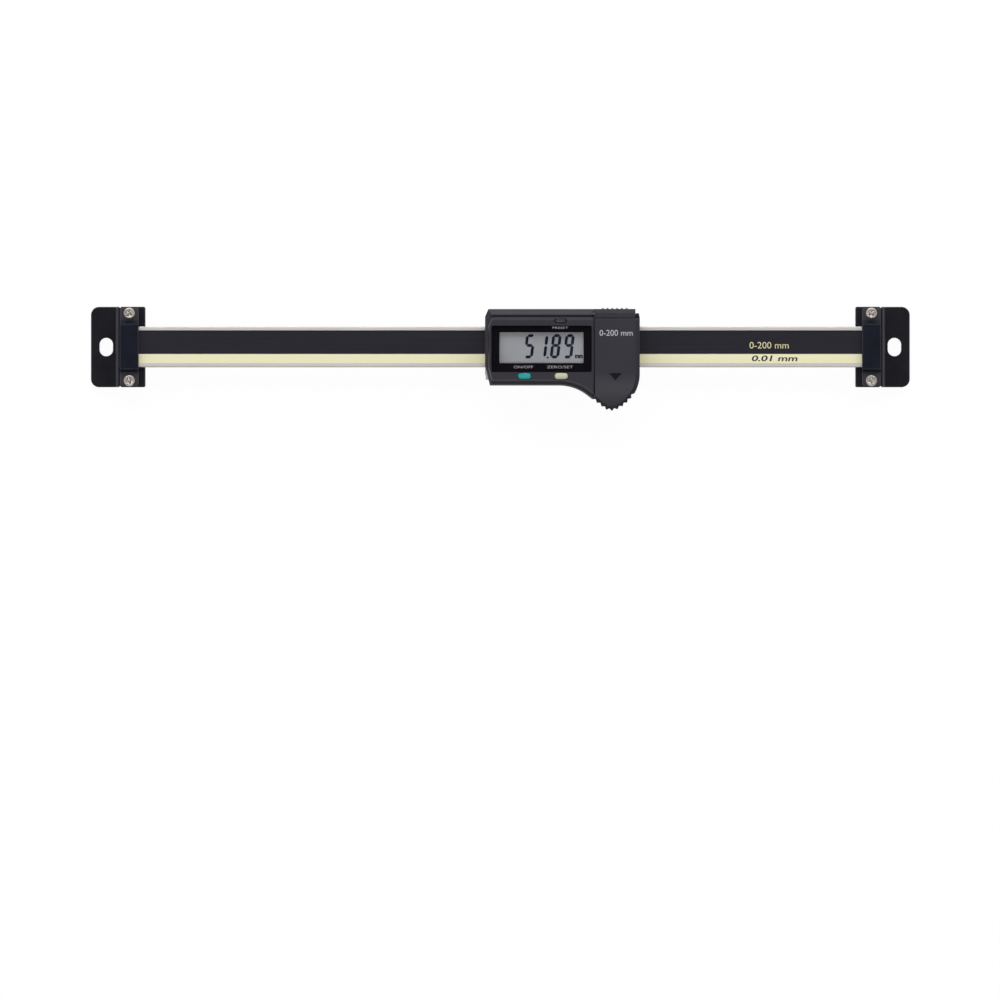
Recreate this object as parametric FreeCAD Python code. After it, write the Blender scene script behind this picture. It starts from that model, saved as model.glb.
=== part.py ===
import FreeCAD, Part
import math
import os
from FreeCAD import Vector

# A digital linear scale lying on its back: a flat beam held at both ends by clamped feet, and a slider that
# carries the display. The feet stand on z = 0, the beam runs along X and the display faces +Z.
# The origin lies midway between the two mounting slots. All sizes are in millimetres.

# Feet and clamps
SLOT_PITCH = 310.0
SLOT_WIDTH = 5.3
SLOT_LENGTH = 7.2
FOOT_EDGE = 6.0
FOOT_LENGTH = 21.4
FOOT_CORNER = 3.2
FOOT_BREAK = 0.3
FLANGE_LENGTH = 9.9
FLANGE_THICKNESS = 3.2
EAR_LENGTH = 7.8
BLOCK_HEIGHT = 6.0
END_WALL = 1.6
BLOCK_ROUND = 1.2
BLOCK_CORNER = 0.4
BLOCK_BREAK = 0.35
NOTCH_WIDTH = 1.0
NOTCH_DEPTH = 0.5
CLAMP_LENGTH = 7.4
CLAMP_THICKNESS = 1.8
CLAMP_SIDE = 0.2
CLAMP_FOOT = 1.5
CLAMP_SLOPE = 0.7
CLAMP_BEND = 0.5
CLAMP_SET_IN = 0.4
CLAMP_CORNER = 0.6
CLAMP_SCREW_INSET = 2.6
CLAMP_SCREW_LENGTH = 6.0
CLAMP_HOLE_FLOOR = 1.5

# Beam and the scale set into its front
BEAM_WIDTH = 16.0
BEAM_THICKNESS = 3.5
BEAM_EDGE = 0.3
TRACK_WIDTH = 13.0
TRACK_DEPTH = 1.0
SUBSTRATE_THICKNESS = 0.7
FILM_THICKNESS = 0.25
INDEX_WIDTH = 3.7

# Slider: its place along the beam at rest, its back plate and its steel frame
SLIDER_X = 24.35
PLATE_GAP = 1.0
PLATE_THICKNESS = 3.0
PLATE_CORNER = 2.0
TAP_DIAMETER = 2.5
TAP_SPACING_X = 30.0
TAP_SPACING_Y = 14.0
RAIL_WIDTH = 4.8
BRIDGE_LEFT = 3.7
BRIDGE_RIGHT = 5.3
BRIDGE_THICKNESS = 1.5
FRAME_SETBACK = 0.25
FRAME_CORNER = 0.5
READ_GAP = 0.3
GIB_LENGTH = 48.0
GIB_THICKNESS = 0.8
GIB_SCREW_SPACING = 30.0
GIB_SCREW_RISE = 1.3
GIB_SCREW_SUNK = 0.2

# Front cover
COVER_WALL = 2.0
COVER_SKIRT = 2.9
END_THICKNESS = 2.6
TOP_SETBACK = 0.4
COVER_CORNER_X = 1.3
COVER_CORNER_Y = 3.0
SKIRT_CUT_X = 1.9
SKIRT_CUT_Y = 7.8
FRONT_CUT_X = 1.3
FRONT_CUT_Y = 4.7
CORNER_ROOF = 1.0
ROOF_THICKNESS = 1.8
BEVEL_DROP = 1.2
BEVEL_SIDE = 1.3
BEVEL_TOP = 2.2
BEVEL_BOTTOM = 0.5
STEP_TOP = 1.0
STEP_BOTTOM = 1.2
STEP_FALL = 0.35
PLATEAU_HEIGHT = 2.9
CROWN_HEIGHT = 1.3
CROWN_TOP = 1.2
CROWN_SIDE = 0.3
CROWN_BOTTOM = 0.7
SWEEP_LENGTH = 13.6
SWEEP_RADIUS = 18.0
SWEEP_ANGLE = math.radians(38.0)
LOBE_WALL = 2.5
LOW_RIB = 2.2
HIGH_RIB = 1.1
SHOULDER_LENGTH = 3.1
SHOULDER_LEAN = 0.3
SHOULDER_DROP = 1.6

# Battery lid, its thumb lobe and the serrations of the lobe
LID_LENGTH = 18.1
LID_TOP = 11.1
LID_THICKNESS = 3.5
LID_WALL = 1.5
LID_BREAK = 0.4
LID_RIM_DROP = 0.8
LID_RIM_WIDTH = 1.6
LID_FALL_START = -10.0
LID_FALL_LENGTH = 20.0
LID_FALL_RADIUS = 55.0
FLANK_START = -10.6
FLANK_RADIUS = 15.4
TIP_RADIUS = 5.0
TOOTH_PITCH = 2.3
TOOTH_COUNT = 8
TOOTH_DEPTH = 0.85
TOOTH_SHIFT = 2.0
TONGUE_SIZE = 0.6
TONGUE_ROOT = 0.4
TONGUE_SET_BACK = 1.0
SKIRT_THICKNESS = 0.8
SKIRT_DROP = 2.2
LIP_REACH = 0.5
LIP_HEIGHT = 0.7

# Battery, its well and the deck under the lid
BATTERY_DIAMETER = 11.6
BATTERY_HEIGHT = 5.4
BATTERY_PLACE = 7.3
BATTERY_Y = -17.0
WELL_FLOOR = 0.9
WELL_WALL = 1.2
DECK_THICKNESS = 1.2
CONTACT_THICKNESS = 0.2
PLUS_HALF = 1.8
MINUS_PLACE = -3.2
MINUS_HALF = 0.8
TAB_REACH = 1.6

# Data outlet and its cover
PORT_LENGTH = 8.4
PORT_HEIGHT = 2.7
PORT_PLACE = 7.35
PORT_DEPTH = 5.0
PORT_SETBACK = 2.0
CAP_LENGTH = 16.4
CAP_BEVEL = 1.6
CAP_RIDGES = 6
CAP_RIDGE_PITCH = 1.87
CAP_RIDGE_HEIGHT = 0.5
CAP_SUNK = 0.3
CAP_WALL = 1.1
CAP_ROOF = 1.6
PRONG_GAP = 1.3
PRONG_WIDTH = 1.0
PRONG_RISE = 0.8
PRONG_HOOK = 0.3

# Display, boards and controls
WINDOW_LENGTH = 39.4
WINDOW_WIDTH = 18.25
WINDOW_Y = -0.875
WINDOW_INSET = 2.45
WINDOW_RIB = 0.75
WINDOW_CORNER = 0.8
LENS_THICKNESS = 0.8
MASK_THICKNESS = 0.15
VIEW_MARGIN = 3.2
VIEW_WIDTH = 12.1
VIEW_Y = -0.42
VIEW_EASE = 0.7
GLASS_RIM = 0.8
GLASS_WIDTH = 14.0
GLASS_THICKNESS = 1.8
HOLDER_WALL = 0.7
HOLDER_LEDGE = 0.8
CONTACT_STRIP_WIDTH = 1.8
BOARD_THICKNESS = 1.0
CHIP_SIZE = 7.0
CHIP_HEIGHT = 1.4
CHIP_PLACE = 5.45
BUTTON_LENGTH = 5.1
BUTTON_WIDTH = 2.4
BUTTON_PROUD = 0.4
BUTTON_Y = -11.6
ON_OFF_PLACE = -6.7
ZERO_PLACE = 7.75
ORIGIN_PLACE = 7.45
ORIGIN_Y = 10.2
ORIGIN_LENGTH = 4.6
ORIGIN_WIDTH = 1.7
ORIGIN_SUNK = 0.7
FLANGE_EAR = 1.1
FLANGE_HEIGHT = 0.9
PLUNGER_SIZE = 1.5
DOME_SIZE = 2.8
DOME_TOP = 1.2
DOME_HEIGHT = 0.8

# Screws
PAN_RADIUS = 0.9
PAN_HEIGHT = 0.68
CLAMP_SCREW = 2.5
BODY_SCREW = 1.7
GIB_SCREW = 1.8
BODY_SCREW_INSET = 2.6
BODY_SCREW_SIDE = 1.65
BODY_SCREW_GRIP = 2.6
BOSS_SIZE = 2.6

# Clearances
RUN = 0.1
SEAT = 0.05
THREAD = 0.05
FIT = 0.15
GAP = 0.3

# Heights that follow from the sizes above
Z_PLATE = PLATE_GAP + PLATE_THICKNESS
Z_BEAM = Z_PLATE + RUN
Z_TRACK = Z_BEAM + BEAM_THICKNESS
Z_BOARD = Z_TRACK + READ_GAP
Z_PARTS = Z_BOARD + BOARD_THICKNESS
Z_FRAME = Z_BOARD + BRIDGE_THICKNESS
Z_SKIRT = Z_FRAME - COVER_SKIRT
Z_CELL = Z_SKIRT + WELL_FLOOR + CONTACT_THICKNESS
Z_DECK = Z_CELL + BATTERY_HEIGHT + RUN
Z_FRONT = Z_DECK + LID_THICKNESS
Z_TIER = Z_FRONT - PLATEAU_HEIGHT
Z_ROOF = Z_FRONT - ROOF_THICKNESS
Z_DECK_BACK = Z_DECK - DECK_THICKNESS
Z_LENS_SEAT = Z_FRONT - LENS_THICKNESS - MASK_THICKNESS - SEAT
Z_GLASS = Z_ROOF - GAP
Z_DOME = Z_PARTS + DOME_HEIGHT

# Widths and lengths that follow
RAIL_IN = BEAM_WIDTH / 2 + RUN
RAIL_OUT = RAIL_IN + RAIL_WIDTH
COVER_IN = RAIL_OUT + GAP
COVER_HALF = COVER_IN + COVER_WALL
COVER_TOP = COVER_HALF - TOP_SETBACK
COVER_LENGTH = WINDOW_INSET + WINDOW_LENGTH + WINDOW_RIB + LID_LENGTH
COVER_END = COVER_LENGTH / 2
FRAME_END = COVER_END - FRAME_SETBACK
LID_LINE = COVER_END - LID_LENGTH
WINDOW_X = -COVER_END + WINDOW_INSET + WINDOW_LENGTH / 2
VIEW_LENGTH = WINDOW_LENGTH - 2 * VIEW_MARGIN
GLASS_LENGTH = VIEW_LENGTH + 2 * GLASS_RIM
SWEEP_X = LID_LINE - SWEEP_LENGTH
BATTERY_X = LID_LINE + BATTERY_PLACE
PORT_X = LID_LINE + PORT_PLACE
CHIP_X = LID_LINE + CHIP_PLACE
BODY_SCREW_X = COVER_END - BODY_SCREW_INSET
BODY_SCREW_Y = RAIL_IN + BODY_SCREW_SIDE
PORT_FACE = COVER_HALF - PORT_SETBACK
PORT_BACK = PORT_FACE - PORT_DEPTH
FOOT_END = SLOT_PITCH / 2 + FOOT_EDGE
FOOT_INNER = FOOT_END - FOOT_LENGTH
BLOCK_END = FOOT_END - FLANGE_LENGTH
BEAM_END = BLOCK_END - END_WALL - SEAT
FOOT_HALF = BEAM_WIDTH / 2 + EAR_LENGTH
CLAMP_END = BLOCK_END - END_WALL
WELL_RADIUS = BATTERY_DIAMETER / 2 + GAP
RING_RADIUS = WELL_RADIUS + WELL_WALL
BOARD_LEFT = -FRAME_END + BRIDGE_LEFT + FIT
BOARD_RIGHT = FRAME_END - BRIDGE_RIGHT - FIT
DATA_WALL = LID_TOP + RUN
MINUS_X = BATTERY_X + MINUS_PLACE


def box(x0, x1, y0, y1, z0, z1):
    return Part.makeBox(x1 - x0, y1 - y0, z1 - z0, Vector(x0, y0, z0))


def post(x, y, radius, z0, z1):
    return Part.makeCylinder(radius, z1 - z0, Vector(x, y, z0))


def polygon(points):
    corners = [Vector(*p) for p in points]
    return Part.Face(Part.makePolygon(corners + corners[:1]))


def rounded_plate(x0, x1, y0, y1, z0, z1, radius):
    """Plate with its upright corners rounded."""
    plate = box(x0, x1, y0, y1, z0, z1)
    upright = [e for e in plate.Edges if abs(e.tangentAt(e.FirstParameter).z) > 0.9]
    return plate.makeFillet(radius, upright)


def oblong(x, y, length, width, z0, z1, along_y=False):
    """Bar with round ends, along X unless along Y is asked for."""
    r = width / 2
    h = length / 2 - r
    shape = box(-h, h, -r, r, z0, z1)
    shape = shape.fuse([post(-h, 0, r, z0, z1), post(h, 0, r, z0, z1)]).removeSplitter()
    if along_y:
        shape.rotate(Vector(0, 0, 0), Vector(0, 0, 1), 90)
    shape.translate(Vector(x, y, 0))
    return shape


def edges_at(shape, z):
    """Edges that lie wholly at one height."""
    return [e for e in shape.Edges if abs(e.BoundBox.ZMin - z) < 1e-6 and abs(e.BoundBox.ZMax - z) < 1e-6]


def pan_screw(x, y, size, z_seat, length):
    """Pan head screw standing on its seat, with its shank below. The head grows with the thread's size."""
    head = post(x, y, PAN_RADIUS * size, z_seat, z_seat + PAN_HEIGHT * size)
    return head.fuse(post(x, y, size / 2, z_seat - length, z_seat)).removeSplitter()


def save(name, shape):
    solids = shape.Solids
    solid = solids[0] if len(solids) == 1 else Part.makeCompound(solids)
    solid.exportStep("parts/" + name + ".step")


def save_slider(name, shape):
    shape.translate(Vector(SLIDER_X, 0, 0))
    save(name, shape)


def save_ends(name, shape):
    """One piece at the right end and its mirror image at the left end."""
    save("right_" + name, shape)
    save("left_" + name, shape.mirror(Vector(0, 0, 0), Vector(1, 0, 0)))


# Beam with a shallow track along its front
def make_beam():
    half = BEAM_WIDTH / 2
    c = BEAM_EDGE
    outline = [
        (-BEAM_END, -half, Z_BEAM + c),
        (-BEAM_END, -half, Z_TRACK - c),
        (-BEAM_END, -half + c, Z_TRACK),
        (-BEAM_END, -TRACK_WIDTH / 2, Z_TRACK),
        (-BEAM_END, -TRACK_WIDTH / 2, Z_TRACK - TRACK_DEPTH),
        (-BEAM_END, TRACK_WIDTH / 2, Z_TRACK - TRACK_DEPTH),
        (-BEAM_END, TRACK_WIDTH / 2, Z_TRACK),
        (-BEAM_END, half - c, Z_TRACK),
        (-BEAM_END, half, Z_TRACK - c),
        (-BEAM_END, half, Z_BEAM + c),
        (-BEAM_END, half - c, Z_BEAM),
        (-BEAM_END, -half + c, Z_BEAM),
    ]
    return polygon(outline).extrude(Vector(2 * BEAM_END, 0, 0))


def make_scale():
    """Substrate, dark cover film and light index band, all lying in the track."""
    half = TRACK_WIDTH / 2 - SEAT
    end = BEAM_END - SEAT
    z0 = Z_TRACK - TRACK_DEPTH
    z1 = z0 + SUBSTRATE_THICKNESS
    split = -TRACK_WIDTH / 2 + INDEX_WIDTH
    substrate = box(-end, end, -half, half, z0, z1)
    film = box(-end, end, split, half, z1, z1 + FILM_THICKNESS)
    band = box(-end, end, -half, split, z1, z1 + FILM_THICKNESS)
    return substrate, film, band


# Feet: a slotted flange and a block with a groove that takes the end of the beam
def foot_block():
    """Block with its outer end rounded off, its inner corners cut and its upper edges broken."""
    r = BLOCK_ROUND
    mid = r * math.sqrt(0.5)
    y = -FOOT_HALF
    run = [
        Vector(BLOCK_END - r, y, BLOCK_HEIGHT),
        Vector(FOOT_INNER, y, BLOCK_HEIGHT),
        Vector(FOOT_INNER, y, 0),
        Vector(BLOCK_END, y, 0),
        Vector(BLOCK_END, y, BLOCK_HEIGHT - r),
    ]
    edges = [Part.makeLine(a, b) for a, b in zip(run, run[1:])]
    over = Vector(BLOCK_END - r + mid, y, BLOCK_HEIGHT - r + mid)
    edges.append(Part.Arc(run[-1], over, run[0]).toShape())
    block = Part.Face(Part.Wire(edges)).extrude(Vector(0, 2 * FOOT_HALF, 0))
    inner = [e for e in block.Edges if e.BoundBox.XMax < FOOT_INNER + FIT and e.BoundBox.ZLength > FIT]
    block = block.makeChamfer(BLOCK_CORNER, inner)
    upper = [e for e in edges_at(block, BLOCK_HEIGHT) if e.BoundBox.XMin < BLOCK_END - 2 * r]
    return block.makeChamfer(BLOCK_BREAK, upper)


def side_notch(side):
    """Small notch in the edge of the foot, where the block's end wall begins."""
    half = NOTCH_WIDTH / 2
    y = side * FOOT_HALF
    corners = [(CLAMP_END - half, y, -1), (CLAMP_END, y - side * NOTCH_DEPTH, -1), (CLAMP_END + half, y, -1)]
    outer = [(CLAMP_END + half, y + side, -1), (CLAMP_END - half, y + side, -1)]
    return polygon(corners + outer).extrude(Vector(0, 0, BLOCK_HEIGHT + 2))


def make_foot():
    flange = box(FOOT_INNER + 2 * BLOCK_CORNER, FOOT_END, -FOOT_HALF, FOOT_HALF, 0, FLANGE_THICKNESS)
    outer = [
        e for e in flange.Edges
        if abs(e.BoundBox.XMin - FOOT_END) < 1e-6 and e.BoundBox.ZLength > 1
    ]
    flange = flange.makeFillet(FOOT_CORNER, outer)
    flange = flange.makeChamfer(FOOT_BREAK, edges_at(flange, FLANGE_THICKNESS))
    half = BEAM_WIDTH / 2 + SEAT
    foot = flange.fuse(foot_block()).removeSplitter()
    foot = foot.cut(box(FOOT_INNER - 1, CLAMP_END, -half, half, Z_BEAM, BLOCK_HEIGHT + 1))
    foot = foot.cut(oblong(SLOT_PITCH / 2, 0, SLOT_LENGTH, SLOT_WIDTH, -1, FLANGE_THICKNESS + 1, True))
    foot = foot.cut([side_notch(side) for side in (-1, 1)])
    for x, y in clamp_screw_places():
        foot = foot.cut(post(x, y, CLAMP_SCREW / 2 + THREAD, CLAMP_HOLE_FLOOR, BLOCK_HEIGHT + 1))
    return foot


def clamp_screw_places():
    y = FOOT_HALF - CLAMP_SCREW_INSET
    return [(CLAMP_END - CLAMP_LENGTH / 2, side * y) for side in (-1, 1)]


def make_clamp():
    """Bent strap over the beam: two ears on the block, a raised middle that bears on the beam."""
    x = CLAMP_END - CLAMP_LENGTH
    t = CLAMP_THICKNESS
    y_in = BEAM_WIDTH / 2 + CLAMP_SIDE
    y_foot = y_in + CLAMP_FOOT
    y_crown = y_foot - CLAMP_SLOPE
    y_end = FOOT_HALF - CLAMP_SET_IN
    right = [
        (x, y_in, Z_TRACK),
        (x, y_in, BLOCK_HEIGHT),
        (x, y_end, BLOCK_HEIGHT),
        (x, y_end, BLOCK_HEIGHT + t),
        (x, y_foot, BLOCK_HEIGHT + t),
        (x, y_crown, Z_TRACK + t),
    ]
    left = [(px, -py, pz) for px, py, pz in reversed(right)]
    strap = polygon(right + left).extrude(Vector(CLAMP_LENGTH, 0, 0))
    bends = [
        e for e in strap.Edges
        if e.BoundBox.XLength > 1 and any(abs(abs(e.CenterOfMass.y) - y) < 1e-6 for y in (y_foot, y_crown))
    ]
    strap = strap.makeFillet(CLAMP_BEND, bends)
    corners = [
        e for e in strap.Edges
        if e.BoundBox.ZLength > FIT and abs(abs(e.CenterOfMass.y) - y_end) < 1e-6
    ]
    strap = strap.makeChamfer(CLAMP_CORNER, corners)
    for px, py in clamp_screw_places():
        strap = strap.cut(post(px, py, CLAMP_SCREW / 2 + FIT, BLOCK_HEIGHT - 1, Z_TRACK + t + 1))
    return strap


def make_clamp_screws():
    seat = BLOCK_HEIGHT + CLAMP_THICKNESS
    right = [pan_screw(x, y, CLAMP_SCREW, seat, CLAMP_SCREW_LENGTH) for x, y in clamp_screw_places()]
    left = [s.mirror(Vector(0, 0, 0), Vector(1, 0, 0)) for s in right]
    return Part.makeCompound(right + left)


# Steel frame, back plate and gib
def relief():
    """Room that the battery well needs in the frame and the board."""
    return post(BATTERY_X, BATTERY_Y, RING_RADIUS + GAP, Z_SKIRT - FIT, Z_DECK)


def corner_places(x, y):
    return [(sx * x, sy * y) for sx in (-1, 1) for sy in (-1, 1)]


def make_frame():
    frame = box(-FRAME_END, FRAME_END, RAIL_IN, RAIL_OUT, Z_PLATE, Z_BOARD)
    frame = frame.fuse([
        box(-FRAME_END, FRAME_END, -RAIL_OUT, -RAIL_IN, Z_PLATE, Z_BOARD),
        box(-FRAME_END, -FRAME_END + BRIDGE_LEFT, -RAIL_OUT, RAIL_OUT, Z_BOARD, Z_FRAME),
        box(FRAME_END - BRIDGE_RIGHT, FRAME_END, -RAIL_OUT, RAIL_OUT, Z_BOARD, Z_FRAME),
    ]).removeSplitter()
    upper = [
        e for e in frame.Edges
        if e.BoundBox.ZLength > BRIDGE_THICKNESS / 2 and e.BoundBox.XLength + e.BoundBox.YLength < 1e-6
        and abs(abs(e.BoundBox.XMin) - FRAME_END) < 1e-6 and abs(e.BoundBox.YMax - RAIL_OUT) < 1e-6
    ]
    frame = frame.makeChamfer(FRAME_CORNER, upper)
    gib_half = GIB_LENGTH / 2 + FIT
    gib_back = RAIL_IN + GIB_THICKNESS + SEAT
    frame = frame.cut(box(-gib_half, gib_half, RAIL_IN - 1, gib_back, Z_PLATE - 1, Z_TRACK))
    frame = frame.cut(relief())
    for x, y in corner_places(BODY_SCREW_X, BODY_SCREW_Y):
        frame = frame.cut(post(x, y, BODY_SCREW / 2 + RUN, Z_PLATE - 1, Z_FRAME + 1))
    for s in (-1, 1):
        hole = Part.makeCylinder(
            GIB_SCREW / 2 + THREAD, RAIL_WIDTH + 2,
            Vector(s * GIB_SCREW_SPACING / 2, RAIL_IN, Z_PLATE + GIB_SCREW_RISE), Vector(0, 1, 0))
        frame = frame.cut(hole)
    return frame


def make_gib():
    half = GIB_LENGTH / 2
    return box(-half, half, RAIL_IN - SEAT, RAIL_IN - SEAT + GIB_THICKNESS, Z_PLATE + SEAT, Z_TRACK - SEAT)


def make_gib_screws():
    y0 = RAIL_IN - SEAT + GIB_THICKNESS
    return Part.makeCompound([
        Part.makeCylinder(
            GIB_SCREW / 2, RAIL_OUT - y0 - GIB_SCREW_SUNK,
            Vector(s * GIB_SCREW_SPACING / 2, y0, Z_PLATE + GIB_SCREW_RISE), Vector(0, 1, 0))
        for s in (-1, 1)
    ])


def make_plate():
    plate = box(-COVER_END, COVER_END, -RAIL_OUT, RAIL_OUT, PLATE_GAP, Z_PLATE)
    upright = [e for e in plate.Edges if e.BoundBox.ZLength > PLATE_THICKNESS / 2]
    plate = plate.makeChamfer(PLATE_CORNER, upright)
    for x, y in corner_places(TAP_SPACING_X / 2, TAP_SPACING_Y / 2):
        plate = plate.cut(post(x, y, TAP_DIAMETER / 2, PLATE_GAP - 1, Z_PLATE + 1))
    for x, y in corner_places(BODY_SCREW_X, BODY_SCREW_Y):
        r = BODY_SCREW / 2
        sink = Part.makeCone(2 * r + 2 * RUN, r + RUN, r + RUN, Vector(x, y, PLATE_GAP))
        plate = plate.cut(sink).cut(post(x, y, r + RUN, PLATE_GAP, Z_PLATE + 1))
    return plate


def make_body_screws():
    """Long countersunk screws that hold back plate, frame and front cover together."""
    screws = []
    for x, y in corner_places(BODY_SCREW_X, BODY_SCREW_Y):
        r = BODY_SCREW / 2
        cone = Part.makeCone(2 * r, r, r, Vector(x, y, PLATE_GAP + RUN))
        shank = post(x, y, r, PLATE_GAP + RUN + r, Z_FRAME + BODY_SCREW_GRIP)
        screws.append(cone.fuse(shank).removeSplitter())
    return Part.makeCompound(screws)


# Outlines of the front cover and the lid
def sweep_end(inset):
    """Where the concave sweep of the lower edge runs out into the straight flank of the lobe."""
    r = SWEEP_RADIUS + inset
    cy = -COVER_HALF - SWEEP_RADIUS
    return SWEEP_X + r * math.sin(SWEEP_ANGLE), cy + r * math.cos(SWEEP_ANGLE)


def flank_y(x, inset):
    ex, ey = sweep_end(inset)
    return ey - (x - ex) * math.tan(SWEEP_ANGLE)


def left_face(z, side, top, bottom, cut):
    """Outline of the cover left of the lid line, each side drawn in by its own amount, one corner cut."""
    x0 = -COVER_END + side
    y0 = -COVER_HALF + bottom
    y1 = COVER_TOP - top
    cut_x, cut_y = cut
    r = SWEEP_RADIUS + bottom
    cy = -COVER_HALF - SWEEP_RADIUS
    half = SWEEP_ANGLE / 2
    ex, ey = sweep_end(bottom)
    run = [
        Vector(ex, ey, z),
        Vector(LID_LINE, flank_y(LID_LINE, bottom), z),
        Vector(LID_LINE, y1, z),
        Vector(x0 + COVER_CORNER_X, y1, z),
        Vector(x0, y1 - COVER_CORNER_Y, z),
        Vector(x0, y0 + cut_y, z),
        Vector(x0 + cut_x, y0, z),
        Vector(SWEEP_X, y0, z),
    ]
    edges = [Part.makeLine(a, b) for a, b in zip(run, run[1:])]
    middle = Vector(SWEEP_X + r * math.sin(half), cy + r * math.cos(half), z)
    edges.append(Part.Arc(run[-1], middle, run[0]).toShape())
    return Part.Face(Part.Wire(edges))


def lobe_centres():
    """Centres of the large flank arc and of the tip arc of the thumb lobe."""
    big = (COVER_END - FLANK_RADIUS, FLANK_START)
    ex, ey = sweep_end(0)
    n = (math.sin(SWEEP_ANGLE), math.cos(SWEEP_ANGLE))
    h = (big[0] - ex) * n[0] + (big[1] - ey) * n[1]
    across = TIP_RADIUS - h
    along = math.sqrt((FLANK_RADIUS - TIP_RADIUS) ** 2 - across ** 2)
    tip = (big[0] + along * n[1] + across * n[0], big[1] - along * n[0] + across * n[1])
    return big, tip


def lobe_angles():
    """Directions of the tip arc's two ends, seen from its centre."""
    big, tip = lobe_centres()
    return -math.pi / 2 - SWEEP_ANGLE, math.atan2(tip[1] - big[1], tip[0] - big[0])


def at_angle(centre, radius, angle, z):
    return Vector(centre[0] + radius * math.cos(angle), centre[1] + radius * math.sin(angle), z)


def right_face(z, inset, y_top, x_left, corner):
    """Outline right of the lid line with the thumb lobe, drawn in all round."""
    big, tip = lobe_centres()
    a1, a2 = lobe_angles()
    rb = FLANK_RADIUS - inset
    rt = TIP_RADIUS - inset
    x1 = COVER_END - inset
    upper = [Vector(x1, FLANK_START, z)]
    if corner:
        step = LID_LINE + CAP_LENGTH
        upper += [
            Vector(x1, y_top - SHOULDER_LENGTH, z),
            Vector(x1 - SHOULDER_LEAN, y_top - SHOULDER_DROP, z),
            Vector(step, y_top - SHOULDER_DROP, z),
            Vector(step, y_top, z),
        ]
    else:
        upper += [Vector(x1, y_top, z)]
    upper += [
        Vector(x_left, y_top, z),
        Vector(x_left, flank_y(x_left, inset), z),
        at_angle(tip, rt, a1, z),
    ]
    edges = [Part.makeLine(a, b) for a, b in zip(upper, upper[1:])]
    turn = at_angle(tip, rt, a2, z)
    edges.append(Part.Arc(upper[-1], at_angle(tip, rt, (a1 + a2) / 2, z), turn).toShape())
    edges.append(Part.Arc(turn, at_angle(big, rb, a2 / 2, z), upper[0]).toShape())
    return Part.Face(Part.Wire(edges))


def between(lower, upper):
    """Bevelled body between two outlines of the same make."""
    return Part.makeLoft([lower.OuterWire, upper.OuterWire], True, True)


def serrations():
    """Grooves that leave pointed teeth around the thumb lobe."""
    big, tip = lobe_centres()
    a1, a2 = lobe_angles()
    tip_length = TIP_RADIUS * (a2 - a1)
    middle = tip_length / 2 + TOOTH_SHIFT
    grooves = []
    for i in range(TOOTH_COUNT + 1):
        s = middle + (i - TOOTH_COUNT / 2) * TOOTH_PITCH
        if s < 0:
            angle = a1
            foot = at_angle(tip, TIP_RADIUS, a1, 0)
            point = foot + Vector(math.cos(SWEEP_ANGLE), -math.sin(SWEEP_ANGLE), 0) * s
        elif s < tip_length:
            angle = a1 + s / TIP_RADIUS
            point = at_angle(tip, TIP_RADIUS, angle, 0)
        else:
            angle = a2 + (s - tip_length) / FLANK_RADIUS
            point = at_angle(big, FLANK_RADIUS, angle, 0)
        out = Vector(math.cos(angle), math.sin(angle), 0)
        side = Vector(-out.y, out.x, 0)
        half = TOOTH_PITCH * 0.75
        mouth = point + out * (TOOTH_DEPTH / 2)
        wedge = Part.Face(Part.makePolygon([
            mouth + side * half, point - out * TOOTH_DEPTH, mouth - side * half, mouth + side * half]))
        wedge.translate(Vector(0, 0, Z_SKIRT - 1))
        grooves.append(wedge.extrude(Vector(0, 0, Z_FRONT - Z_SKIRT + 2)))
    return Part.makeCompound(grooves)


# Front cover
def button_places():
    low = (BUTTON_LENGTH, BUTTON_WIDTH)
    return [
        (WINDOW_X + ON_OFF_PLACE, BUTTON_Y) + low,
        (WINDOW_X + ZERO_PLACE, BUTTON_Y) + low,
        (WINDOW_X + ORIGIN_PLACE, ORIGIN_Y, ORIGIN_LENGTH, ORIGIN_WIDTH),
    ]


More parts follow.
